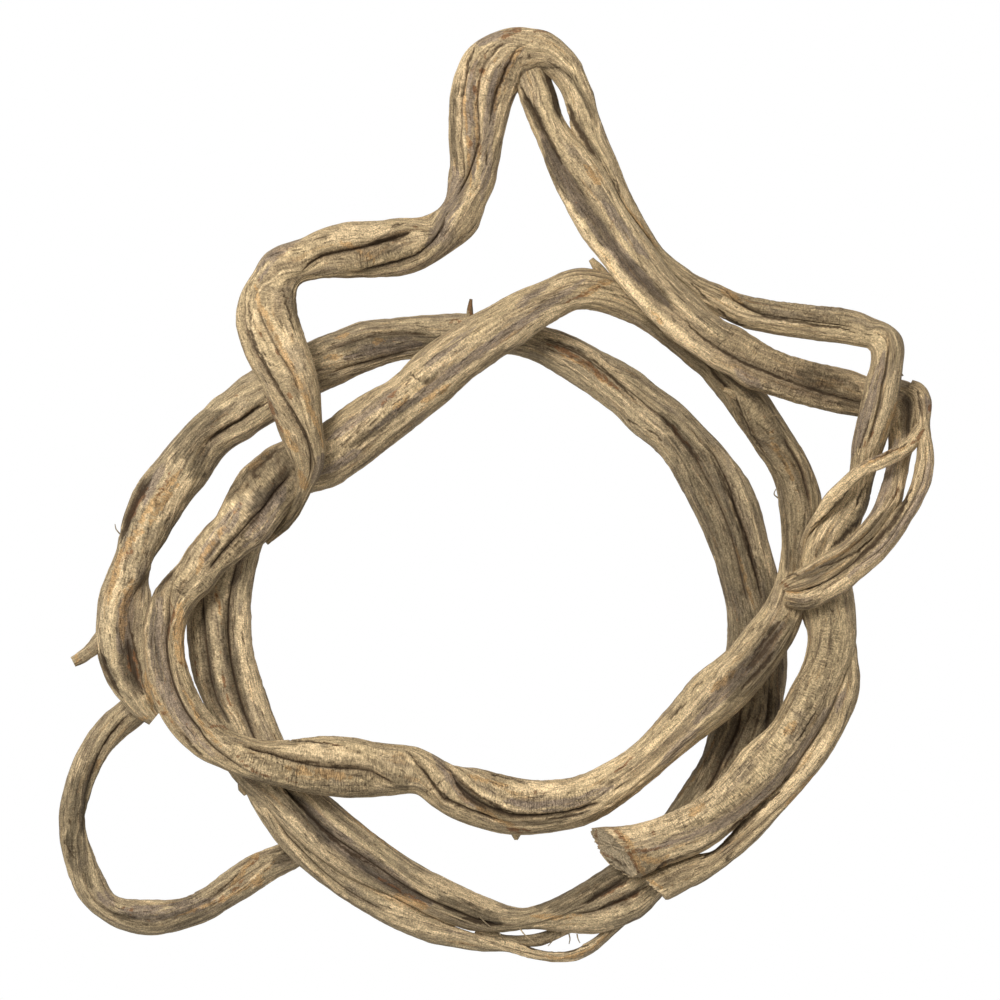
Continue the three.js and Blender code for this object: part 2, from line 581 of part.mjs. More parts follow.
function geometryOf(body) {
  const mesh = body.getMesh();
  const geometry = new THREE.BufferGeometry();
  geometry.setAttribute('position', new THREE.Float32BufferAttribute(mesh.vertProperties, 3));
  geometry.setIndex(new THREE.Uint32BufferAttribute(mesh.triVerts, 1));
  return geometry;
}

const stems = Object.fromEntries(Object.entries({
  main: MAIN_STEM,
  sawn: SAWN_STRAND,
  curl: CURL_STEM,
  curlOuter: CURL_OUTER,
  curlBridge: CURL_BRIDGE,
  front: FRONT_STEM,
  back: BACK_STEM,
  thin: THIN_STEM,
  middle: MIDDLE_STRAND,
  loop: SIDE_LOOP,
  leftTwig: LEFT_TWIG,
  topTwig: TOP_TWIG,
  crestTwig: CREST_TWIG,
  frontKnot: FRONT_KNOT,
  armKnot: ARM_KNOT,
  ringStub: RING_STUB,
  lowerKnot: LOWER_KNOT,
}).map(([name, stem]) => [name, measure(stem)]));

// The point of a stem's spine nearest to a place in the picture
function nearest(name, [x, y]) {
  let best = 0;
  const gap = (i) => Math.hypot(stems[name].line[i].x - x, stems[name].line[i].y - y);
  stems[name].line.forEach((_, i) => {
    if (gap(i) < gap(best)) best = i;
  });
  return best;
}

const ARM_FORK = { main: [722, 297], curl: [722, 343] }; // where the two arms part
const BOTTOM_FORK = [598, 904]; // where the bottom bundle hands over to the right side
const RING_FAR_SIDE = [798, 500]; // where the front ring's two halves meet
const SAWN_FACE = [0.56, -0.6];
const STRAND_FACE = [0, -0.64];
const mainFork = nearest('main', ARM_FORK.main);
const curlFork = nearest('curl', ARM_FORK.curl);
const backFork = nearest('back', BOTTOM_FORK);
const farSide = nearest('front', RING_FAR_SIDE);
const last = (name) => stems[name].line.length - 1;
const whole = (name, options) => [name, 0, last(name), options];

// Each piece of the vine, from fork to fork, and the stems or part stems that it is made of
const PIECES = {
  sawn_arm: [
    ['main', 0, mainFork, { startFace: SAWN_FACE }],
    whole('sawn', { endFace: STRAND_FACE }),
  ],
  crest_bend: [['main', mainFork, last('main')], ['curl', 0, curlFork]],
  curl_arm: [['curl', curlFork, last('curl')], whole('curlOuter'), whole('curlBridge')],
  front_ring: [
    ['front', 0, farSide],
    ['front', farSide, last('front')],
    ...['crestTwig', 'frontKnot', 'armKnot', 'ringStub'].map((name) => whole(name)),
  ],
  bottom_stem: [
    ['back', 0, backFork],
    ...['thin', 'middle', 'lowerKnot'].map((name) => whole(name)),
  ],
  back_ring: [['back', backFork, last('back')], whole('leftTwig'), whole('topTwig')],
  side_loop: [whole('loop')],
};

const join = (parts, grow) => parts
  .map(([name, from, to, options]) => solid(loft(stems[name], from, to, { ...options, grow })))
  .reduce((sum, part) => sum.add(part));

// A slab below the surface, which wears the undersides flat
const BELOW = 60;
const slab = new THREE.BoxGeometry(1000, 1000, BELOW);
slab.translate(0, 0, FLAT - BELOW / 2);
const surface = solid(slab);

const BARK = {
  sawn_arm: 0xb3a07c,
  crest_bend: 0xb5a27e,
  curl_arm: 0xa08c6a,
  front_ring: 0xb09b76,
  bottom_stem: 0x9a8868,
  back_ring: 0xa59170,
  side_loop: 0x968466,
};

const vine = new THREE.Group();
const finished = [];
for (const [name, parts] of Object.entries(PIECES)) {
  let body = join(parts, 0).subtract(surface);
  for (const other of finished) body = body.subtract(other);
  finished.push(join(parts, JOINT_GAP));
  const material = new THREE.MeshStandardMaterial({
    color: BARK[name], roughness: 0.9, metalness: 0,
  });
  const mesh = new THREE.Mesh(geometryOf(body), material);
  mesh.name = name;
  mesh.position.z = -FLAT;
  vine.add(mesh);
}

export default vine;
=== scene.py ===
from functools import reduce
from itertools import product

import bpy
import numpy as np
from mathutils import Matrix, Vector


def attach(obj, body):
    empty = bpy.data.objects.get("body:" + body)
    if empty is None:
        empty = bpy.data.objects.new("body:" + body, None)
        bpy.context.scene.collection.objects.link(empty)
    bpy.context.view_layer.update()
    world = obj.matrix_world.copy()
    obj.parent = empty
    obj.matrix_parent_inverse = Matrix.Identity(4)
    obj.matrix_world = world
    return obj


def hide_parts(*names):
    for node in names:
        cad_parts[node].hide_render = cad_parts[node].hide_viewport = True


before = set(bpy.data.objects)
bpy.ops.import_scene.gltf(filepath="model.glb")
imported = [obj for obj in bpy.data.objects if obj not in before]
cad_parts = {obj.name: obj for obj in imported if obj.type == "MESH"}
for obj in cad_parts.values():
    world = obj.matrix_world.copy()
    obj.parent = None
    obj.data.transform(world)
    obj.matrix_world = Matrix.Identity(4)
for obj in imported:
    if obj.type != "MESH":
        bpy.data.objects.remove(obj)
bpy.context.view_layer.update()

# The real vine and the eye above it, in millimetres
COIL_LENGTH = 513
EYE_HEIGHT = 2600
FLAT = 0.6  # how much of the lowest strands is worn away
MM = 0.001

# The picture, in pixels. The routes are read from it, with heights in millimetres
PICTURE = 1000
COIL_LENGTH_IN_PICTURE = 934
EYE = (500, 500)
MIDDLE = (496, 495)
SCALE = COIL_LENGTH / COIL_LENGTH_IN_PICTURE
ARM_FORK = {"main": (722, 297), "curl": (722, 343)}
BOTTOM_FORK = (598, 904)

# How the routes are followed. A station is a section of a stem
STATION = 2.0  # pixels between stations
ROUTE_STEP = 3.0  # pixels between the places looked up on a route
CURVE_STEPS = 24  # points of a curve between two points of its route
TINY = 1e-6
LOOK = 2  # stations ahead and behind that give a stem's direction
SEARCH = 12  # stations behind in which a route is followed, and three times as many ahead
FIRST_PART = 0.3  # the share of the spine in which an edge begins
EDGE_EASE = 3  # stations to either side over which an edge is averaged
SLOT_EASE = 4
THICKNESS_EASE = 8

# Grooves: places across the stem go from -1 to 1, and depths are shares of the radius
SLOT_SPACING = 0.16
SLOT_LIMIT = 0.92
SLOT_FADE = 12  # stations over which a groove runs out, or a third of it where it is short
GROOVE_REACH = 0.55  # radians to either side; a groove that reaches further is a round valley
GROOVE_ROOM = 0.7  # the share of the room to the next groove that one may take
# Painted shade in the grooves: the depth that gets it in full, its strength in a round valley, and the
# width of its dark line along a narrow groove
FULL_DEPTH = 0.3  # a groove this deep is as dark as it gets
VALLEY_SHADE_STRENGTH = 0.9
CRACK_WIDTH = 0.055  # radians
UNDERSIDE_GROOVES = 2
UNDERSIDE_DEPTH = 0.16
UNDERSIDE_DRIFT = 0.22  # radians to either side
DRIFT_LENGTH = 45  # stations a radian

# Columns of the mesh
UNDERSIDE_SHARE = 0.45  # of the columns that the upper side has
FEWEST_COLUMNS = 4  # between two grooves
CROWDING = 0.5  # how much closer the columns beside a groove lie
UPPER = -0.25  # the sine of the angle down to which the picture shows a stem
LOWEST = 0.00002  # metres above the surface

# The ends: lean with height, lean across and ragged depth in pixels
SQUARE = (0.0, 0.0, 0.0)
SAWN_FACE = (0.56, -0.6, 1.8)
STRAND_FACE = (0.0, -0.64, 2.0)
FACE_ROWS = 24  # stations over which a slanted face eases back into the stem
TEETH = 12  # cells of the rim's coarse noise in a radian
FINE_TEETH = 34
FINE_TEETH_SHARE = 0.6
END_RINGS = (0.93, 0.8, 0.62, 0.42, 0.2)
END_ROUGHNESS = 0.5  # millimetres that a plain end is worn in
END_DENT = 0.6  # the even part of that wear
END_WAVE = 0.4  # the wavy part
END_WAVES = 7
END_TWIST = 5  # columns that the waves turn from ring to ring

# Painted strokes, in pixels: light is painted light, dim is painted shade, dark is cracks and painted
# shadow
KINDS = ("grey", "pale", "orange", "rust", "dark", "dim", "light", "wrinkle")
MARKS = ("groove", "crack_and_shade", "cut", *(kind for kind in KINDS if kind != "dark"))
STROKE_STEP = 1.2
STROKE_EDGE = 0.8
STROKE_CORE = 0.5  # the share of the half width that is fully marked
STROKE_TIP = 0.3  # the share of the width that is left at a stroke's tips
TIP_RATE = 5  # a tip takes a fifth of the stroke
STROKE_DARKNESS = 0.85
WOBBLES = ((0.8, (7, 7, 1)), (0.9, (2.4, 2.4, 1)))  # how far to either side, and its cells

# Relief of the bark in millimetres: size of the cells across and along the stem, seed, height
RELIEF = (
    ((13, 13, 30), 0, 0.27),
    ((3.6, 3.6, 55), 1, 0.3),
    ((1.5, 1.5, 14), 2, 0.24),
    ((2.0, 2.0, 3.2), 6, 0.22),
)
SPLIT_CELLS = (4.5, 4.5, 40)
SPLIT_WIDTH = 0.07
SPLIT_DEPTH = 0.5
SPLIT_DARKNESS = 0.6
SPLIT_PLACES = (10, 10, 22)
SPLIT_GAIN = 1.6  # how sharply the places with fissures begin
SPLIT_START = 0.15
WRINKLE_CELLS = (8, 8, 1.5)
WRINKLE_HEIGHT = 0.3
RIDGE_CELLS = (5, 5, 60)
RIDGE_WIDTH = 0.15
RIDGE_STRENGTH = 0.6
PALE_HEIGHT = 0.4
DARK_DEPTH = 0.7
SEEDS_APART = 10  # from one stem's noises to the next one's

# Large odd numbers and shifts that mix a cell and a seed into a number that looks random
HASH_CELL = (374761393, 668265263, 974634777)
HASH_SEED = 144665
HASH_MIX = 1274126177
HASH_SHIFTS = (13, 16)
HASH_MASK = 0xFFFFFFFF
HASH_LOW = 0xFFFF

# Colours
GREY = (0.28, 0.215, 0.15)
GREY_BAND = (0.25, 0.19, 0.145)
ORANGE = (0.50, 0.30, 0.125)
RUST = (0.22, 0.10, 0.04)
RIDGE = (0.77, 0.575, 0.33)
# Painted shade in the grooves, and the dark of cracks, lines and painted shadow
VALLEY_SHADE = (0.17, 0.12, 0.075)
DARK = (0.055, 0.032, 0.016)
CUT_DEEP = (0.40, 0.305, 0.18)
CUT_PALE = (0.56, 0.44, 0.28)
WHITE = (1, 1, 1, 1)

# The three barks: pale, middle and deep colour, and how strong their warm streaks are
BARKS = {
    "pale_bark": ((0.66, 0.495, 0.275), (0.45, 0.333, 0.187), (0.26, 0.187, 0.107), 0.5),
    "split_bark": ((0.70, 0.52, 0.29), (0.48, 0.35, 0.195), (0.27, 0.19, 0.107), 0.5),
    "grey_bark": ((0.57, 0.435, 0.25), (0.38, 0.288, 0.168), (0.22, 0.161, 0.098), 0.4),
}
STREAK_STOPS = (0.36, 0.48, 0.61)
CUT_STOPS = (0.35, 0.6)

# Noises of the bark: cells in millimetres, detail, roughness and distortion
NOISES = {
    "streak": ((2.6, 2.6, 42), 5, 0.62, 0),
    "fibre": ((0.7, 0.7, 11), 4, 0.65, 0),
    "thread": ((1.2, 1.2, 7), 3, 0.7, 0),
    "patch": ((9, 9, 26), 4, 0.6, 0),
    "zone": ((13, 13, 26), 2, 0.55, 0),
    "warm": ((2.2, 2.2, 24), 4, 0.65, 0),
    # This noise also breaks up the painted shade
    "wear": ((2.2, 2.2, 7), 5, 0.7, 0),
    "mottle": ((2.0, 2.0, 3.6), 4, 0.7, 0),
    "fleck": ((1.1, 1.1, 3.0), 4, 0.75, 0),
    "speckle": ((0.62, 0.62, 0.8), 4, 0.8, 0),
    "wrinkle": ((4.5, 4.5, 0.8), 3, 0.65, 0.5),
    "fine_crack": ((1.0, 1.0, 9), 4, 0.7, 0),
    "ring": ((1.6, 1.6, 1.6), 5, 0.7, 0),
}

# Steps from a noise or a mark to its strength: first and last value, least and most strength
STEPS = {
    "zone": (0.5, 0.62, 0.0, 0.4),
    "break": (0.36, 0.62, 0.25, 1.45),
    "fibre": (0.44, 0.68, 0.0, 0.4),
    "patch": (0.5, 0.7, 0.0, 0.5),
    "warm": (0.56, 0.7, 0.0, 1.0),
    # The groove step sets the painted shade in the valleys
    "groove": (0.05, 0.9, 0.0, 1.0),
    "cut": (0.1, 0.8, 0.0, 1.0),
    # Painted light, and below it the two steps of the painted shade
    "light": (0.0, 1.0, 1.0, 1.28),
    "dim_wear": (0.3, 0.7, 0.7, 1.25),
    "dim": (0.0, 1.0, 1.0, 0.5),
    "fleck": (0.6, 0.68, 0.0, 0.6),
    "speckle": (0.32, 0.68, 0.5, 1.46),
    "mottle": (0.3, 0.7, 0.86, 1.13),
    "thread": (0.36, 0.64, 0.82, 1.18),
    "fine_crack": (0.41, 0.35, 0.0, 0.62),
    "wrinkle": (0.48, 0.38, 0.0, 1.0),
    # The next two break up and set the dark of cracks and of painted shadow
    "torn": (0.34, 0.64, 0.75, 1.2),
    "crack_and_shade": (0.12, 0.95, 0.0, 0.88),
}

# Painted kinds: the noise that breaks each up and the values between which it then shows
BREAKS = {
    "pale": ("fibre", 0.12, 0.75),
    "grey": ("fibre", 0.12, 0.8),
    "orange": ("mottle", 0.12, 0.75),
    "rust": ("mottle", 0.2, 0.95),
    "wrinkle": ("wear", 0.2, 0.95),
}

# How strong the painted colours are
BANDS = {
    "pale": (0.85, RIDGE),
    "grey": (0.72, GREY_BAND),
    "orange": (0.75, ORANGE),
    "rust": (0.8, RUST),
}
# How strong the painted shade in the valleys is, and the dark wrinkle lines
VALLEY_SHADE_SHARE = 0.5
WRINKLE_SHARE = 0.46

# The bump's parts
BUMPS = {"fibre": 0.75, "streak": 0.5, "speckle": 0.6, "mottle": 0.7}
WRINKLE_BUMP = 0.9
LINE_BUMP = -0.5
BUMP_DISTANCE = 0.0012
BARK_ROUGHNESS = 0.88
BARK_SPECULAR = 0.2

# The studio, in metres and watts. The lamp stands at the picture's upper left
FLOOR_HALF = 6
SKY_STRENGTH = 0.5
LAMP_SPOT = (-0.9, 1.0, 1.9)
LAMP_SIZE = 0.8
LAMP_POWER = 53
SENSOR_WIDTH = 36  # millimetres
CLIP_END = 50


def points(text):
    return np.array([[float(v) for v in item.split(",")] for item in text.split()])


def stub(spine, radii):
    return {"thickness": 1, "slots": [], "spine": points(spine), "radii": radii}


# The sawn end, the right side, the upper arm, the crest and the left bend, down to the hook
MAIN_STEM = {
  "thickness": 0.82,
  "spine": points("""
    613,852,44 632,850,44 650,846,43 675,838,42 703,822,41 730,801,40 757,776,39 780,750,39
    800,720,38 815,690,37 824,660,36 829,630,36 828,600,36 826,572,36 831,543,37 841,515,38
    853,490,40 862,465,43 868,440,46 874,415,49 880,390,51 885,368,51 886,350,50 878,336,48
    862,330,46 840,326,44 800,319,42 765,312,41 735,303,41 712,292,42 690,278,43 670,262,43
    655,246,42 640,226,40 627,203,37 613,178,34 600,153,31 588,128,27 578,102,23 568,80,20
    556,62,17 540,50,16 522,46,15 504,52,15 490,66,15 483,85,15 480,110,15 476,140,16 474,170,19
    469,195,22 459,213,26 444,227,29 425,236,32 400,243,35 375,247,38 345,251,41 315,256,44
    292,265,46 276,279,47 268,297,48 268,318,49 273,340,50 281,361,51 290,383,52 298,405,51
    303,428,51 307,450,50 309,470,46 305,488,40 298,503,34 289,516,29 278,529,25 265,542,22"""),
  "left": points("""
    601,826 639,823 665,815 703,795 729,769 741,752 772,723 782,706 790,690 803,665 808,639
    805,625 800,610 798,590 800,565 803,548 809,533 819,519 832,506 844,492 849,477 851,460
    852,445 855,430 858,417 862,398 866,378 870,365 871,357 868,349 855,346 840,343 820,341
    800,338 780,335 760,331 745,328 730,322 713,312 696,302 680,288 663,274 647,257 632,238
    618,217 605,194 598,174 587,158 577,143 571,131 569,120 566,106 562,94 556,84 549,77 541,71
    531,73 523,82 517,92 511,106 508,118 505,130 502,145 500,158 497,170 495,185 490,195 486,202
    480,222 474,234 463,243 450,252 440,259 420,270 400,276 360,278 320,279 300,284 297,290
    297,310 300,322 304,335 309,350 316,372 319,385 321,400 322,420 324,435 326,450 323,468
    317,481 310,492 305,502 300,512 293,522 285,531 277,537 266,546"""),
  "right": points("""
    640,877 658,870 680,861 694,856 705,851 717,843 728,834 737,827 746,819 756,809 768,799
    780,788 805,752 831,711 838,693 852,664 856,645 856,614 853,590 852,570 855,550 862,522
    868,505 872,485 877,468 884,448 890,432 893,420 897,405 901,378 903,360 904,350 903,340
    898,331 890,325 877,321 868,316 860,312 850,310 840,308 820,306 800,304 780,302 760,299
    740,294 730,290 720,285 700,277 690,270 680,263 670,255 661,246 656,238 645,220 634,200
    625,180 618,162 610,145 602,125 597,110 592,90 587,80 580,62 570,50 560,40 550,33 540,30
    528,29 520,28 512,28 500,31 480,40 470,47 461,60 456,72 452,85 450,100 449,140 450,165
    447,180 446,195 443,203 436,210 430,213 420,217 400,218 380,221 350,222 330,226 320,229
    310,234 300,239 280,245 270,250 260,260 255,270 250,280 245,285 240,297 237,308 236,320
    237,330 240,340 243,350 247,360 253,372 262,385 267,400 273,418 281,438 289,455 295,470
    297,482 296,491 292,501 285,511 277,521 268,532 257,543"""),
  "slots": [
    [
      [0.1, points("735,778 765,745 782,722 797,693 817,652 822,616")],
      [0.22, points("517,52 508,65 502,78 496,92 492,108 490,130")],
      [0.22, points("446,214 441,229 433,241 424,250 411,257 395,262 378,266 360,270 340,273")],
    ],
    [
      [0.28, points("857,455 862,440 867,425 871,410 877,390 883,370 888,355 889,340 885,325"), 0.8],
      [0.24, points("862,337 850,331 840,328 820,325 800,322 770,317 750,310 740,305 730,298")],
      [0.16, points("600,138 593,114 586,99 576,85 562,76"), 0.8],
      [0.26, points("500,44 492,55 484,68 480,80 478,100 479,125 480,150 484,180 483,200 478,218")],
      [0.38, points("417,229 407,234 395,239 380,243 365,247 350,250 335,253 320,257 310,263 302,273")],
      [0.22, points("256,295 260,310 265,325 272,338 277,350 290,370 295,382 300,395 306,410")],
    ],
    [
      [0.15, points("645,849 672,841 700,830 730,812 760,788 785,760 806,728 822,695 832,660"), 0.9],
      [0.22, points("475,45 470,58 466,75 464,90 462,105 463,130 461,140 464,160 466,180 467,200")],
      [0.3, points("""
    245,290 246,305 248,320 251,332 255,345 260,355 266,366 273,377 285,397 293,410 300,423
    306,435 311,448 315,462 317,475 312,488""")],
    ],
  ],
}

# The second strand beside the sawn end
SAWN_STRAND = {
  "thickness": 0.9,
  "spine": points("""
    844,630,36 851,652,35 854,675,34 850,700,33 838,728,33 822,756,34 800,785,34 775,812,35
    748,838,35 720,857,36 695,872,36 672,884,36 656,890,36"""),
  "left": points("""
    852,628 857,650 859,667 859,693 848,723 831,754 805,787 780,815 754,843 729,864 703,882
    683,892 668,900"""),
  "right": points("""
    833,627 837,650 839,670 831,694 824,711 802,750 777,784 765,796 755,806 745,815 737,824
    730,834 722,842 714,849 706,853 697,854 680,858 660,867 645,874"""),
  "slots": [[[0.15, points("852,700 838,735 812,774 780,806 748,835 715,862 690,877")]]],
}

# The lower arm of the crest, which passes under the upper arm and curls round into a split end
CURL_STEM = {
  "thickness": 0.78,
  "spine": points("""
    527,62,16 536,84,17 545,108,21 556,135,26 568,160,31 583,185,37 600,210,43 617,234,48
    634,256,52 650,276,54 668,297,54 688,316,53 708,333,51 730,349,48 755,362,44 785,375,40
    815,386,35 845,393,30 870,397,27 890,401,28 902,412,31 905,430,34 903,452,38 897,475,42
    888,495,46 876,514,50 860,532,53 842,548,55 820,563,56 800,575,55 788,581,54 781,587,52"""),
  "left": points("""
    543,62 550,74 554,83 557,93 560,104 563,117 570,128 584,143 597,158 606,171 614,188 622,204
    632,218 645,235 657,252 668,266 682,282 700,298 715,313 727,322 740,327 750,334 760,341
    780,351 800,358 820,363 840,367 855,371 867,376 885,379 904,380 917,386 922,400 921,418
    917,436 911,455 908,470 904,485 902,500 894,515 881,535 868,549 850,567 830,580 810,588
    795,592 784,594"""),
  "right": points("""
    514,72 518,92 522,105 529,122 536,137 542,152 548,170 556,188 567,210 578,230 590,247
    600,258 610,272 620,285 630,297 640,307 650,318 665,333 680,345 700,358 710,366 730,377
    745,388 760,392 780,398 800,404 820,409 840,413 858,416 875,419 886,428 889,440 886,468
    882,485 877,500 872,512 860,527 840,545 820,556 805,566 796,571 786,576 779,583"""),
  "slots": [
    [[0.1, points("600,178 615,205 632,235 644,251 660,272 685,298 705,315 725,330 750,343")]],
    [
      [0.36, points("""
    522,90 530,105 538,120 545,135 552,150 565,173 580,195 595,215 610,240 625,262 645,285
    665,305 685,322 700,335 720,349 735,357 750,365 770,374 780,378 800,385 820,392 840,397
    860,402 878,405"""), 0.7],
      [0.42, points("892,390 903,398 909,410 911,426 909,448"), 0.9],
      [0.2, points("903,478 895,497 884,513 870,531 856,544 838,558")],
    ],
  ],
}

# The outer strand of the split curl
CURL_OUTER = {
  "thickness": 0.95,
  "spine": points("""
    908,388,32 916,393,34 922,403,36 925,420,38 925,440,41 925,462,44 920,483,47 911,503,50
    899,522,52 884,541,54 866,558,55 846,573,55 824,587,54 804,597,53 785,596,52"""),
  "left": points("""
    909,379 919,382 926,388 930,395 931,406 930,418 930,428 932,440 934,460 931,485 925,497
    920,508 912,520 905,532 895,545 885,558 875,568 860,580 850,589 833,600 815,609 800,611
    784,606"""),
  "right": points("""
    906,395 911,399 915,408 917,425 917,452 914,470 910,485 904,499 892,513 880,529 865,546
    846,564 828,577 810,586 795,590 781,588"""),
  "slots": [[[0.22, points("""
    924,440 926,460 921,485 912,503 900,523 885,545 860,565 835,583 810,598""")]]],
}

# The strand of the curl that crosses over the right side and lies down along it
CURL_BRIDGE = {
  "thickness": 0.75,
  "spine": points("""
    923,428,41 913,441,44 899,449,49 885,457,56 870,464,58 856,474,57 843,485,54 831,498,51
    820,512,47 810,526,43 804,541,39 804,557,37"""),
  "left": points("""
    930,427 920,441 912,453 905,457 895,462 885,467 875,471 865,475 857,482 852,487 845,496
    840,503 832,510 824,519 816,526 809,535 806,545 807,560"""),
  "right": points("""
    915,425 907,437 900,444 890,449 880,454 868,459 858,465 848,473 840,481 830,490 822,500
    817,510 811,519 805,530 801,540 800,550 801,560"""),
  "slots": [[[0.15, points("916,436 902,448 885,457 868,466 852,478 838,491 825,505 812,522")]]],
}

# The ring on top: from the hook down the left, along the front, up the right and back over
FRONT_STEM = {
  "thickness": 0.8,
  "spine": points("""
    318,461,27 303,471,27 282,487,28 262,505,30 242,526,32 224,546,34 206,566,35 190,588,35
    177,612,35 170,640,35 171,667,36 178,694,38 192,720,42 212,743,46 238,759,50 268,768,51
    300,773,50 335,774,48 365,771,46 395,769,44 420,775,42 445,788,40 475,800,37 510,806,35
    545,808,34 580,802,34 612,788,35 640,770,36 665,748,38 690,722,40 715,697,42 740,672,43
    762,645,43 780,615,41 791,587,38 796,560,34 799,530,30 798,500,27 792,470,25 781,440,24
    765,415,24 745,393,25 722,374,26 700,357,27 678,340,28 655,322,29 634,307,31 610,295,34
    583,289,37 555,296,39 530,310,40 505,327,39 480,343,38 455,360,36 430,381,33 405,401,31
    380,422,29 355,441,27 330,456,27 300,473,27"""),
  "left": points("""
    330,482 310,492 298,502 287,514 276,529 264,544 250,552 238,562 222,575 212,590 200,600
    190,615 186,625 184,645 187,665 191,678 198,695 205,708 218,722 232,731 250,737 262,740
    286,740 300,738 324,736 356,738 384,744 415,747 433,755 453,766 479,769 517,778 555,780
    581,774 606,762 632,746 657,720 675,700 693,678 726,652 749,624 767,601 778,575 781,550
    781,530 780,515 778,500 775,483 768,468 755,450 740,428 730,414 720,400 710,387 700,374
    690,367 680,358 670,350 660,342 650,335 640,328 620,319 600,312 578,309 570,312 560,318
    550,323 540,329 530,337 520,345 508,353 490,366 468,382 450,399 430,415 410,432 390,447
    370,463 350,477 340,484 327,489 312,492 302,497"""),
  "right": points("""
    308,430 296,436 284,441 270,446 254,458 245,465 237,475 230,487 222,505 216,517 207,525
    200,533 185,552 180,562 172,570 160,582 151,598 145,625 144,652 150,690 161,717 179,741
    201,759 219,767 235,774 257,781 280,787 300,792 325,796 351,798 389,796 417,794 427,802
    440,811 453,818 479,828 504,834 530,834 555,831 581,826 606,815 632,797 657,777 683,754
    708,734 739,711 767,680 787,652 801,624 806,600 808,575 812,550 818,525 822,505 818,485
    808,460 790,430 780,415 772,403 765,393 750,384 735,375 720,363 700,346 680,328 660,308
    645,290 625,278 606,271 600,270 590,268 580,268 570,269 555,275 545,280 530,286 520,290
    500,300 490,306 475,313 460,322 440,336 420,350 390,380 370,391 350,403 340,410 323,423
    300,436 288,442"""),
  "slots": [
    [
      [0.4, points("""
    435,758 445,768 455,782 463,790 475,799 491,807 510,813 530,817 550,817 568,815 590,809
    610,800""")],
      [0.2, points("610,800 640,780 670,751 700,718 725,690 745,667 765,640 783,614"), 0.9],
      [0.32, points("768,455 757,440 748,425 742,412 735,398 720,380 710,367")],
      [0.08, points("""
    575,298 545,308 515,325 485,347 455,368 425,392 395,415 365,440 340,460""")],
    ],
    [
      [0.28, points("407,751 420,765 428,778 438,790 450,804 470,817 490,827 505,832")],
      [0.3, points("811,518 808,500 804,485 800,465 790,440 780,425")],
      [0.08, points("590,283 560,290 530,302 500,317 470,335 440,355 410,378 380,400 350,424")],
    ],
    [
      [0.4, points("300,466 288,477 275,490 262,508 250,520 240,532 230,543 220,553 203,578")],
      [0.4, points("235,745 260,752 285,759 305,764 325,767 342,768 360,769 372,771 385,778 400,786")],
    ],
    [
      [0.34, points("306,436 292,442 279,447 265,463 250,477 240,487 224,502")],
      [0.3, points("""
    172,580 170,600 170,640 170,660 180,685 190,705 198,725 205,738 218,750 235,762 255,776""")],
    ],
  ],
}

